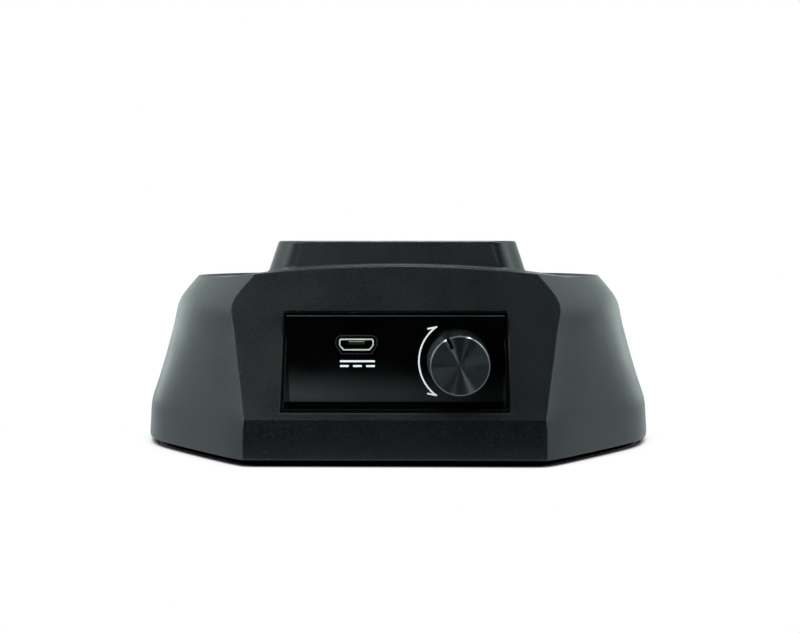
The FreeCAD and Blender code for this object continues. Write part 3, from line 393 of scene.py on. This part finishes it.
# glass-filled nylon: dull black, with a pale line painted along its top front edge as a painted highlight
tongue = {"highlightIn": 0.2 * mm, "highlightTall": 0.13 * mm, "highlightDeep": 0.05 * mm}
tongueLow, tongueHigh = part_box("socket_tongue")
socketNylon = mouldedPlastic("socketBlackNylon", "#101011", "#18181a", 0.5, 0.1 * mm, 0.003 * mm,
                             patch=1 * mm, edge=0.04 * mm)
tongueTopHighlight = insideBox(socketNylon[1], socketNylon[3],
                        (tongueLow.x + tongue["highlightIn"], None, tongueHigh.z - tongue["highlightTall"]),
                        (tongueHigh.x - tongue["highlightIn"], tongueLow.y + tongue["highlightDeep"], None))
recolour(*socketNylon[1:3], tongueTopHighlight, "#d6d2d2", roughness=0.55)
dress(socketNylon, "socket_tongue")
# spring strips with a gold flash, yellow and clean
dress(platedMetal("contactGoldFlash", "#e8c77a", "#d9b45f", 0.22, patch=0.6 * mm), "socket_contacts")
print("socket finished")

knobSettings = {"rearRadius": 6.8 * mm, "faceRadius": 6.25 * mm, "rearEdge": 0.3 * mm, "frontEdge": 0.28 * mm,
                "cavityRadius": 5.75 * mm, "cavityDepth": 3.2 * mm, "boreRadius": 4.6 * mm,
                "frontWall": 2.0 * mm, "rings": 14, "around": 160, "pointerLength": 2.4 * mm,
                "pointerWidth": 0.68 * mm, "pointerDepth": 0.8 * mm, "pointerTurn": 24.0,
                "pointerRound": 0.42, "cutterLong": 4 * mm, "facePitch": 0.25 * mm, "sidePitch": 0.2 * mm,
                "turningUnit": 10 * mm}
# black anodised aluminium, faced on a lathe: rings finer than a hair throw each lamp into two opposite fans
knobFace, faceTree, faceShader, facePlace = startFinish(
    "knobTurnedAnodised", "#6c7073", "#74787b", 0.3, wander=0.01, patch=5 * mm, metallic=1.0, Anisotropic=1.0,
    Anisotropic_Rotation=0.25)
addNode(faceTree, "ShaderNodeTangent", into=faceShader["Tangent"], direction_type="UV_MAP")
faceMoved = addNode(faceTree, "ShaderNodeVectorMath", {1: knobAxis}, {0: facePlace}, operation="SUBTRACT")
faceTurned = addNode(faceTree, "ShaderNodeMapping", {"Rotation": (math.radians(90), 0, 0)},
                     {"Vector": faceMoved})
# real rings are finer, drawn as wide as the eye can still tell apart
faceLines = addNode(faceTree, "ShaderNodeTexWave",
                    {"Scale": bandLength / knobSettings["facePitch"], "Distortion": 0.3, "Detail": 1.0},
                    {"Vector": faceTurned}, wave_type="RINGS", rings_direction="Z")
addNode(faceTree, "ShaderNodeMapRange", {"To Min": 0.27, "To Max": 0.33}, {"Value": faceLines.outputs["Fac"]},
        faceShader["Roughness"])
# the same metal on the chamfer, cut once by a sharp tool: a thin grey line with points of light
knobEdge = platedMetal("knobCutEdge", "#5c6063", "#686c70", 0.2, 0.001 * mm, edge=0.05 * mm)
# the turned side: dyed almost black, with a silky sheen along its length
knobSide = linedMetal("knobTurnedSide", "#222527", "#2b2e30", 0.34, knobAxis, (0, 0, math.radians(90)),
                      knobSettings["sidePitch"], 0.004 * mm)
# bottom of the pointer slot, painted over: matt black
knobSlot = mouldedPlastic("pointerBlackPaint", "#010101", "#030303", 0.8, 0.1 * mm, 0.004 * mm, patch=1 * mm,
                          edge=0.02 * mm, Specular_IOR_Level=0.15)


def makeSpeedKnob(s):
    length = knobHigh.y - knobLow.y
    shape = bmesh.new()
    boreEnd = length - s["frontWall"]
    rim = s["faceRadius"] - s["frontEdge"]
    profile = [(0, boreEnd), (s["boreRadius"], boreEnd), (s["boreRadius"], s["cavityDepth"]),
               (s["cavityRadius"], s["cavityDepth"]), (s["cavityRadius"], 0),
               (s["rearRadius"] - s["rearEdge"], 0),
               (s["rearRadius"], s["rearEdge"]), (s["faceRadius"], length - s["frontEdge"]), (rim, length)]
    profile += [(rim * (1 - step / s["rings"]), length) for step in range(1, s["rings"] + 1)]
    points = [shape.verts.new((radius, 0, height)) for radius, height in profile]
    edges = [shape.edges.new(pair) for pair in zip(points, points[1:])]
    bmesh.ops.spin(shape, geom=edges + points, cent=(0, 0, 0), axis=(0, 0, 1), angle=2 * math.pi,
                   steps=s["around"], use_merge=True)
    bmesh.ops.remove_doubles(shape, verts=shape.verts, dist=0.0005 * mm)
    bmesh.ops.recalc_face_normals(shape, faces=shape.faces)
    bmesh.ops.rotate(shape, cent=(0, 0, 0), matrix=Matrix.Rotation(math.radians(90), 3, "X"),
                     verts=shape.verts)
    bmesh.ops.translate(shape, vec=(knobAxis.x, knobHigh.y, knobAxis.z), verts=shape.verts)
    return toMesh("speed_knob_turned", shape)


def makePointerCutter(s):
    # a slot with one round end, from the rim inwards
    shape = bmesh.new()
    inner = s["faceRadius"] - s["pointerLength"]
    made = bmesh.ops.create_cube(shape, size=1.0)["verts"]
    bmesh.ops.scale(shape, vec=(s["pointerWidth"], 2 * s["pointerDepth"], s["cutterLong"]), verts=made)
    bmesh.ops.translate(shape, vec=(0, 0, inner + s["cutterLong"] / 2), verts=made)
    foot = [e for e in shape.edges if all(v.co.z < inner + 0.1 * mm for v in e.verts)
            and abs(e.verts[0].co.x - e.verts[1].co.x) < 0.01 * mm]
    bmesh.ops.bevel(shape, geom=foot, offset=s["pointerWidth"] * s["pointerRound"], affect="EDGES",
                    segments=4, profile=0.5, material=-1)
    turn = Matrix.Rotation(math.radians(-s["pointerTurn"]), 3, "Y")
    bmesh.ops.rotate(shape, cent=(0, 0, 0), matrix=turn, verts=shape.verts)
    bmesh.ops.translate(shape, vec=(knobAxis.x, knobLow.y, knobAxis.z), verts=shape.verts)
    return toMesh("pointer_cutter", shape)


knob = newPiece("speed_knob_turned", makeSpeedKnob(knobSettings),
                [knobSide[0], knobFace, knobEdge[0], knobSlot[0]], "knob", ["speed_knob"])
cutter = bpy.data.objects.new("pointer_cutter", makePointerCutter(knobSettings))
bpy.context.scene.collection.objects.link(cutter)
slotCut = knob.modifiers.new("pointer", "BOOLEAN")
slotCut.object = cutter
slotCut.solver = "EXACT"
bpy.context.view_layer.update()
cutMesh = bpy.data.meshes.new_from_object(knob.evaluated_get(bpy.context.evaluated_depsgraph_get()))
knob.modifiers.clear()
knob.data = cutMesh
bpy.data.objects.remove(cutter)
knobUv = cutMesh.uv_layers.new(name="turning")
# which finish a face takes, by how squarely it looks ahead and where it lies
sorting = {"square": 0.95, "slanted": 0.3, "nearFront": 0.01 * mm, "belowSlot": 0.1 * mm, "slotShare": 0.51,
           "rimBand": 0.5 * mm, "atCentre": 0.001 * mm}
pointerWay = Vector((-math.sin(math.radians(knobSettings["pointerTurn"])), 0,
                     math.cos(math.radians(knobSettings["pointerTurn"]))))
for face in cutMesh.polygons:
    outward = Vector((face.center.x - knobAxis.x, 0, face.center.z - knobAxis.z))
    reach = outward.length
    alongPointer = outward.dot(pointerWay)
    asidePointer = (outward - pointerWay * alongPointer).length
    face.material_index = 0
    depth, ahead = face.center.y - knobLow.y, abs(face.normal.y)
    if depth < knobSettings["pointerDepth"] + sorting["belowSlot"]:
        if depth < sorting["nearFront"] and ahead > sorting["square"]:
            face.material_index = 1
        elif asidePointer < knobSettings["pointerWidth"] * sorting["slotShare"] and alongPointer > 0:
            face.material_index = 3
        elif sorting["slanted"] < ahead < sorting["square"] and (
                reach > knobSettings["faceRadius"] - sorting["rimBand"]):
            face.material_index = 2
    base = math.atan2(outward.z, outward.x)
    for corner in face.loop_indices:
        at = cutMesh.vertices[cutMesh.loops[corner].vertex_index].co - knobAxis
        away = math.hypot(at.x, at.z)
        turn = math.atan2(at.z, at.x) if away > sorting["atCentre"] else base
        turn = base + math.remainder(turn - base, math.tau)
        knobUv.data[corner].uv = (turn / math.tau, away / knobSettings["turningUnit"])
shadeByAngle(cutMesh, 20)
print("knob finished")

# zinc plate with a clear passivate: bright, slightly blue, softly uneven
zincPlate = platedMetal("screwZincPlate", "#c9ccd0", "#b4b9c2", 0.28, patch=1.5 * mm)
dress(zincPlate, "base_screws", "panel_screws", "board_screws", "motor_screws", "bracket_screws")
dress(nickelPlate, "pot_washer", "pot_nut", "pot_pins")

# woven glass under a green solder mask: pale raised copper runs under it, and small tinned pads
board = {"track": 1.9 * mm, "trackLong": 6.27 * mm, "trackWide": 0.13 * mm, "trackTall": 0.035 * mm,
         "pad": 3.1 * mm, "padRadius": 0.42 * mm, "weave": 0.45 * mm, "weaveTall": 0.004 * mm}
boardMask, boardTree, boardShader, boardPlace = startFinish("boardSolderMask", "#0d3a20", "#0a3119", 0.32,
                                                            patch=5 * mm)
flatRun = addNode(boardTree, "ShaderNodeMapping", {"Rotation": (math.radians(90), 0, 0)},
                  {"Vector": boardPlace})
tracks = addNode(boardTree, "ShaderNodeTexBrick",
                 {"Scale": 1.0, "Mortar Size": board["trackWide"], "Mortar Smooth": 0.2,
                  "Brick Width": board["trackLong"], "Row Height": board["track"]},
                 {"Vector": flatRun}, offset=0.37, squash=0.7, squash_frequency=3)
addNode(boardTree, "ShaderNodeMix", {"B": toLinear("#1c6a3a")},
        {"Factor": tracks.outputs["Fac"], "A": boardShader["Base Color"].links[0].from_socket},
        boardShader["Base Color"], data_type="RGBA")
pads = addNode(boardTree, "ShaderNodeTexVoronoi", {"Scale": 1 / board["pad"], "Randomness": 0.55},
               {"Vector": flatRun}, voronoi_dimensions="2D")
onPad = addNode(boardTree, "ShaderNodeMath", {1: board["padRadius"] / board["pad"]}, {0: pads},
                operation="LESS_THAN")
recolour(boardTree, boardShader, onPad, "#cfd2d0", 1.0, 0.25)
weave = addNode(boardTree, "ShaderNodeTexWave", {"Scale": bandLength / board["weave"]},
                {"Vector": flatRun})
weaveBump = addNode(boardTree, "ShaderNodeBump", {"Distance": board["weaveTall"]},
                    {"Height": weave.outputs["Fac"]})
addNode(boardTree, "ShaderNodeBump", {"Distance": board["trackTall"]},
        {"Height": tracks.outputs["Fac"], "Normal": weaveBump}, boardShader["Normal"])
dress((boardMask,), "control_board")

# moulded epoxy, grey-black and faintly grainy, with tinned legs and a round mark in one corner
chipLow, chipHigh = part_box("driver_chip")
chipEpoxy = mouldedPlastic("chipMouldedEpoxy", "#1c1c1d", "#242426", 0.55, 0.12 * mm, 0.006 * mm,
                           patch=2 * mm)
legReach = 0.9 * mm
chipSides = insideBox(chipEpoxy[1], chipEpoxy[3], (chipLow.x + legReach, None, None),
                      (chipHigh.x - legReach, None, None))
chipLegs = addNode(chipEpoxy[1], "ShaderNodeMath", {0: 1.0}, {1: chipSides}, operation="SUBTRACT")
recolour(*chipEpoxy[1:3], chipLegs, "#c4c7c9", 1.0, 0.3)
dress(chipEpoxy, "driver_chip")

# aluminium can in a shrunk dark sleeve: the bare satin end shows above it, the moulded foot is black
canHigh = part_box("filter_capacitor")[1]
bareEnd = 0.35 * mm
sleeve = mouldedPlastic("capacitorShrinkSleeve", "#15171f", "#1b1e29", 0.3, 0.8 * mm, 0.004 * mm,
                        patch=3 * mm)
sleeveTop = insideBox(sleeve[1], sleeve[3], (None, canHigh.y - bareEnd, None), (None, None, None))
recolour(*sleeve[1:3], sleeveTop, "#c9cbcd", 1.0, 0.35)
dress(sleeve, "filter_capacitor")

# pressed ferrite drum with enamelled copper between its flanges
coilLow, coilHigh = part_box("power_coil")
coilFlange = 0.7 * mm
coil = mouldedPlastic("coilPressedFerrite", "#2b2b2c", "#353537", 0.6, 0.15 * mm, 0.008 * mm, patch=2 * mm)
coilBand = insideBox(coil[1], coil[3], (None, coilLow.y + coilFlange, None),
                     (None, coilHigh.y - coilFlange, None))
recolour(*coil[1:3], coilBand, "#8c4a22", 0.9, 0.3)
dress(coil, "power_coil")

# natural nylon: milky, slightly yellow, light passes a little way in
nylonDepth = (1.2 * mm, 1.0 * mm, 0.7 * mm)
dress(mouldedPlastic("plugNaturalNylon", "#e4dfcf", "#d8d2bf", 0.42, 0.4 * mm, 0.004 * mm, patch=3 * mm,
                     Subsurface_Weight=0.15, Subsurface_Radius=nylonDepth), "motor_plug")
dress(mouldedPlastic("holderNaturalNylon", "#dedbd0", "#d3cfc1", 0.45, 0.6 * mm, 0.006 * mm, patch=7 * mm,
                     Subsurface_Weight=0.12, Subsurface_Radius=nylonDepth), "magnet_holder")
# black nylon end cap of the motor, with the dull bloom of glass filling
dress(mouldedPlastic("capGlassFilledNylon", "#1b1b1c", "#2a2a2b", 0.55, 0.25 * mm, 0.008 * mm, patch=3 * mm),
      "motor_end_cap")
# pressed phenolic board and cup: brown with darker fibres
dress(mouldedPlastic("potPressedPhenolic", "#4a2c16", "#5c3a20", 0.48, 0.35 * mm, 0.008 * mm, patch=1.6 * mm),
      "pot_housing", "pot_wiper")
print("electronics finished")

alongY = (0, 0, math.radians(90))      # turns that lay the lines one after another along Y or Z
alongZ = (0, math.radians(90), 0)
# brass turned on an automatic lathe: rings round its axis, darker in patches where fingers oxidised it
dress(linedMetal("bushingTurnedBrass", "#c9a24e", "#b48d3e", 0.27, knobAxis, alongY, 0.35 * mm, 0.006 * mm,
                 patch=2 * mm), "pot_bushing", "knob_insert")
# satin aluminium shaft, its lines run round it
dress(linedMetal("potSatinAluminium", "#c8c9cc", "#b9babd", 0.33, knobAxis, alongY, 0.2 * mm, 0.004 * mm,
                 patch=2 * mm), "pot_shaft")
# deep-drawn steel, zinc plated: long faint lines down the wall and a soft bluish bloom
dress(linedMetal("motorDrawnSteel", "#b9bcc0", "#a6aab0", 0.3, driveAxis, (0, 0, 0), 0.5 * mm, 0.003 * mm,
                 patch=5 * mm), "motor_can")
# cold-rolled strip, zinc plated: straight rolling lines and cut edges
dress(linedMetal("bracketRolledSteel", "#b3b6b9", "#a0a4aa", 0.34, driveAxis, alongY, 0.4 * mm, 0.004 * mm,
                 patch=8 * mm), "motor_bracket", "yoke_plate")
# ground steel, the finest rings of all: almost a mirror
dress(linedMetal("shaftGroundSteel", "#c2c4c6", "#b5b7ba", 0.14, driveAxis, alongZ, 0.12 * mm, 0.001 * mm,
                 patch=3 * mm, wander=0.03), "motor_shaft")
# punched silicon steel, stacked: a dark line between each pair of sheets
dress(linedMetal("coreStackedSheets", "#8d8f92", "#787a7e", 0.42, driveAxis, alongZ, 0.5 * mm, 0.09 * mm,
                 patch=2 * mm), "armature_core")
# enamelled wire lying turn by turn: reddish, glassy, each turn a small ridge
dress(linedMetal("windingEnamelledWire", "#a5532a", "#8a3f1e", 0.26, driveAxis, alongZ, 0.28 * mm, 0.1 * mm,
                 patch=1.2 * mm), "armature_windings")
# copper bars polished by the brushes, with a brown track
dress(linedMetal("commutatorRubbedCopper", "#c57a4c", "#9a5530", 0.24, driveAxis, alongZ, 0.18 * mm,
                 0.004 * mm, patch=0.8 * mm), "commutator")
# tinned brass blades
dress(platedMetal("terminalTinnedBrass", "#d0cfc6", "#c0bda9", 0.3, patch=1 * mm), "motor_terminals")
# sintered bronze: porous, brown-gold, wet with oil in its pores
bronze = platedMetal("bearingSinteredBronze", "#9a6f3a", "#7b5528", 0.4, 0.02 * mm, patch=0.5 * mm)
dress(bronze, "upper_bearing", "lower_bearing")
# nickel-plated discs of the stirring magnets, bright with a few handling marks
dress(platedMetal("magnetNickelPlate", "#d2d0ca", "#c4c2bb", 0.16, 0.002 * mm, patch=3 * mm),
      "stirring_magnets")
# sintered ferrite: graphite grey, ground faces, matt grain
dress(mouldedPlastic("fieldSinteredFerrite", "#2c2d2f", "#38393c", 0.62, 0.2 * mm, 0.01 * mm, patch=2 * mm),
      "field_magnets")
# pressed carbon: soft black with a metallic shimmer on the rubbed end
dress(mouldedPlastic("brushPressedCarbon", "#19191a", "#2b2b2d", 0.38, 0.08 * mm, 0.006 * mm, patch=0.6 * mm,
                     metallic=0.35), "motor_brushes")
# soft sleeve pulled over stranded wire: waxy, with the lay of the strands just telling
dress(mouldedPlastic("leadRedSleeve", "#a5160f", "#8f110c", 0.36, 0.5 * mm, 0.012 * mm, patch=4 * mm),
      "motor_lead_left")
dress(mouldedPlastic("leadBlackSleeve", "#121213", "#1c1c1e", 0.36, 0.5 * mm, 0.012 * mm, patch=4 * mm),
      "motor_lead_right")
print("motor finished")

studio = {"lens": 56.8, "distance": 317 * mm, "height": 46 * mm, "yaw": 0.85, "drop": 3.0, "aimX": 0.4 * mm,
          "floorFront": -0.27, "floorBack": 1.6, "floorSide": 1.6, "paperTint": "#e4f2f6",
          "contact": 10 * mm, "contactFrom": 0.16, "contactTo": 0.66,
          "glossLeft": 0.7, "glossRight": 0.05, "glossFrom": -38 * mm, "glossTo": 26 * mm,
          "glossStart": -0.25, "glossEnd": -0.05, "glossBeside": 0.9, "besideFrom": -0.09, "besideTo": -0.06,
          "glossSteps": [(-0.25, 0.0), (-0.22, 0.35), (-0.165, 1.0), (-0.125, 0.1), (-0.09, 0.05)]}
camera = bpy.data.cameras.new("camera")
camera.lens = studio["lens"]
camera.sensor_width = 36.0
eye = bpy.data.objects.new("camera", camera)
bpy.context.scene.collection.objects.link(eye)
eye.location = (studio["distance"] * math.sin(math.radians(studio["yaw"])), driveAxis.y - studio["distance"],
                studio["height"])
aimFall = studio["distance"] * math.tan(math.radians(studio["drop"]))
aim = Vector((studio["aimX"], driveAxis.y, studio["height"] - aimFall))
eye.rotation_euler = (aim - eye.location).to_track_quat("-Z", "Y").to_euler()
bpy.context.scene.camera = eye

floorShape = bmesh.new()
corners = [floorShape.verts.new((x, y, 0)) for x, y in (
    (-studio["floorSide"], studio["floorFront"]), (studio["floorSide"], studio["floorFront"]),
    (studio["floorSide"], studio["floorBack"]), (-studio["floorSide"], studio["floorBack"]))]
floorShape.faces.new(corners)
floor = bpy.data.objects.new("floor", toMesh("floor", floorShape))
bpy.context.scene.collection.objects.link(floor)
# white paper: seen directly it is plain white, dark only where the casing stands close over it
paper, paperTree, _, paperPlace = startFinish("floorWhitePaper", "#e6e6e6", "#e2e2e2", 0.85, patch=60 * mm)
closeness = addNode(paperTree, "ShaderNodeAmbientOcclusion", {"Distance": studio["contact"]}, samples=16)
shadow = addNode(paperTree, "ShaderNodeMapRange",
                 {"From Min": studio["contactFrom"], "From Max": studio["contactTo"]},
                 {"Value": closeness.outputs["AO"]}, interpolation_type="SMOOTHSTEP")
# polished faces see the paper duller than the eye does, and brighter on the left, where the lamp stands
paperAxes = addNode(paperTree, "ShaderNodeSeparateXYZ", {}, {"Vector": paperPlace})
sidelong = addNode(paperTree, "ShaderNodeMapRange",
                   {"From Min": studio["glossFrom"], "From Max": studio["glossTo"],
                    "To Min": studio["glossLeft"], "To Max": studio["glossRight"]},
                   {"Value": paperAxes.outputs["X"]})
nearby = addNode(paperTree, "ShaderNodeMapRange",
                 {"From Min": studio["glossStart"], "From Max": studio["glossEnd"]},
                 {"Value": paperAxes.outputs["Y"]})
strip = addNode(paperTree, "ShaderNodeValToRGB", {}, {"Fac": nearby})
glossReach = studio["glossEnd"] - studio["glossStart"]
setRamp(strip, [((place - studio["glossStart"]) / glossReach, bright)
                for place, bright in studio["glossSteps"]])
ahead = addNode(paperTree, "ShaderNodeMath", {}, {0: sidelong, 1: strip}, operation="MULTIPLY")
beside = addNode(paperTree, "ShaderNodeMapRange",
                 {"From Min": studio["besideFrom"], "From Max": studio["besideTo"]},
                 {"Value": paperAxes.outputs["Y"]}, interpolation_type="SMOOTHSTEP")
glossy = addNode(paperTree, "ShaderNodeMix", {"B": studio["glossBeside"]}, {"Factor": beside, "A": ahead})
rays = addNode(paperTree, "ShaderNodeLightPath").outputs
seenBy = addNode(paperTree, "ShaderNodeMix", {"B": 1.0}, {"Factor": rays["Is Camera Ray"], "A": glossy})
tint = addNode(paperTree, "ShaderNodeMix", {"A": toLinear(studio["paperTint"]), "B": (1, 1, 1, 1)},
               {"Factor": rays["Is Camera Ray"]}, data_type="RGBA")
shine = addNode(paperTree, "ShaderNodeMath", {}, {0: seenBy, 1: shadow}, operation="MULTIPLY")
glow = addNode(paperTree, "ShaderNodeEmission", {}, {"Color": tint, "Strength": shine})
direct = addNode(paperTree, "ShaderNodeMath", {}, {0: rays["Is Camera Ray"], 1: rays["Is Glossy Ray"]},
                 operation="MAXIMUM")
paperTop = addNode(paperTree, "ShaderNodeMixShader", {},
                   {"Fac": direct, 1: paperTree.nodes["Principled BSDF"], 2: glow})
# from underneath the paper isn't there
underneath = addNode(paperTree, "ShaderNodeNewGeometry").outputs["Backfacing"]
clear = addNode(paperTree, "ShaderNodeBsdfTransparent")
addNode(paperTree, "ShaderNodeMixShader", {}, {"Fac": underneath, 1: paperTop, 2: clear},
        paperTree.nodes["Material Output"].inputs["Surface"])
floor.data.materials.append(paper)

# the room: a white tent, open and dark in front and over the front, plain white behind the view
sky = bpy.data.worlds.new("studioTent")
bpy.context.scene.world = sky
sky.use_nodes = True
skyTree = sky.node_tree
# each step is a place from the front of the room to its back, and how bright the cloth is there
tent = {"strength": 2.0, "shade": 0.018, "tint": (0.86, 1.0, 0.98), "left": 1.06, "right": 0.94,
        "openFrom": 0.5, "openTo": 0.75, "backFrom": -0.4, "backTo": 0.25, "roofFrom": 0.04, "roofTo": 0.34,
        "wallSteps": [(0.14, 0.01), (0.19, 0.25), (0.25, 1.4), (0.41, 1.3), (0.48, 0.34), (0.62, 0.28),
                      (0.84, 0.7), (0.92, 0.95), (1.0, 0.35)],
        "roofSteps": [(0.14, 0.01), (0.19, 0.25), (0.25, 1.4), (0.41, 1.3), (0.48, 0.8), (0.62, 0.72),
                      (0.82, 0.55), (0.92, 0.35), (1.0, 0.12)]}
skyPlace = addNode(skyTree, "ShaderNodeTexCoord")
way = addNode(skyTree, "ShaderNodeSeparateXYZ", {}, {"Vector": skyPlace}).outputs
frontToBack = addNode(skyTree, "ShaderNodeMapRange", {"From Min": -1.0, "From Max": 1.0}, {"Value": way["Y"]})
wallCloth = addNode(skyTree, "ShaderNodeValToRGB", {}, {"Fac": frontToBack})
setRamp(wallCloth, tent["wallSteps"], tent["tint"])
roofCloth = addNode(skyTree, "ShaderNodeValToRGB", {}, {"Fac": frontToBack})
setRamp(roofCloth, tent["roofSteps"], tent["tint"])
rise = addNode(skyTree, "ShaderNodeMapRange", {"From Min": tent["roofFrom"], "From Max": tent["roofTo"]},
               {"Value": way["Z"]}, interpolation_type="SMOOTHSTEP")
cloth = addNode(skyTree, "ShaderNodeMix", {}, {"Factor": rise, "A": wallCloth, "B": roofCloth},
                data_type="RGBA")
aside = addNode(skyTree, "ShaderNodeMath", {}, {0: way["X"]}, operation="ABSOLUTE")
wall = addNode(skyTree, "ShaderNodeMapRange", {"From Min": tent["openFrom"], "From Max": tent["openTo"]},
               {"Value": aside}, interpolation_type="SMOOTHSTEP")
back = addNode(skyTree, "ShaderNodeMapRange", {"From Min": tent["backFrom"], "From Max": tent["backTo"]},
               {"Value": way["Y"]}, interpolation_type="SMOOTHSTEP")
lit = addNode(skyTree, "ShaderNodeMath", {}, {0: wall, 1: back}, operation="MAXIMUM")
shade = addNode(skyTree, "ShaderNodeMapRange",
                {"To Min": tent["shade"] * tent["strength"], "To Max": tent["strength"]}, {"Value": lit})
# the left wall stands nearer the window
slant = addNode(skyTree, "ShaderNodeMapRange",
                {"From Min": -1.0, "From Max": 1.0, "To Min": tent["left"], "To Max": tent["right"]},
                {"Value": way["X"]})
power = addNode(skyTree, "ShaderNodeMath", {}, {0: shade, 1: slant}, operation="MULTIPLY")
tentLight = addNode(skyTree, "ShaderNodeBackground", {}, {"Color": cloth, "Strength": power})
whiteBack = addNode(skyTree, "ShaderNodeBackground", {"Strength": 1.0, "Color": (1, 1, 1, 1)})
seen = addNode(skyTree, "ShaderNodeLightPath").outputs["Is Camera Ray"]
addNode(skyTree, "ShaderNodeMixShader", {}, {"Fac": seen, 1: tentLight, 2: whiteBack},
        skyTree.nodes["World Output"].inputs["Surface"])

# lamps by the way they stand from the middle of the front: a turn round the view from straight up, a tilt
# off the view, the power and the angle that the lamp fills
lampColour = (0.86, 0.96, 1.0)
lamps = {"keyLeft": {"turn": -27.0, "tilt": 30.0, "power": 0.18, "angle": 4.0},
         "keyTop": {"turn": -20.0, "tilt": 58.5, "power": 0.29, "angle": 4.0},
         "fillRight": {"turn": 20.0, "tilt": 36.0, "power": 0.06, "angle": 1.5},
         "stripLeft": {"turn": -30.0, "tilt": 88.0, "power": 0.4, "angle": 7.0},
         "stripRight": {"turn": 21.0, "tilt": 88.0, "power": 0.4, "angle": 3.0},
         "wallRight": {"turn": 45.0, "tilt": 86.0, "power": 0.25, "angle": 25.0},
         "hairBack": {"turn": 0.0, "tilt": 112.0, "power": 0.8, "angle": 12.0}}
for name, s in lamps.items():
    lamp = bpy.data.lights.new(name, "SUN")
    lamp.energy = s["power"]
    lamp.angle = math.radians(s["angle"])
    lamp.color = lampColour
    holder = bpy.data.objects.new(name, lamp)
    bpy.context.scene.collection.objects.link(holder)
    turn, tilt = math.radians(s["turn"]), math.radians(s["tilt"])
    toward = Vector((math.sin(turn) * math.sin(tilt), -math.cos(tilt), math.cos(turn) * math.sin(tilt)))
    holder.rotation_euler = toward.to_track_quat("Z", "Y").to_euler()
bpy.context.scene.view_settings.view_transform = "Standard"
print("studio set")
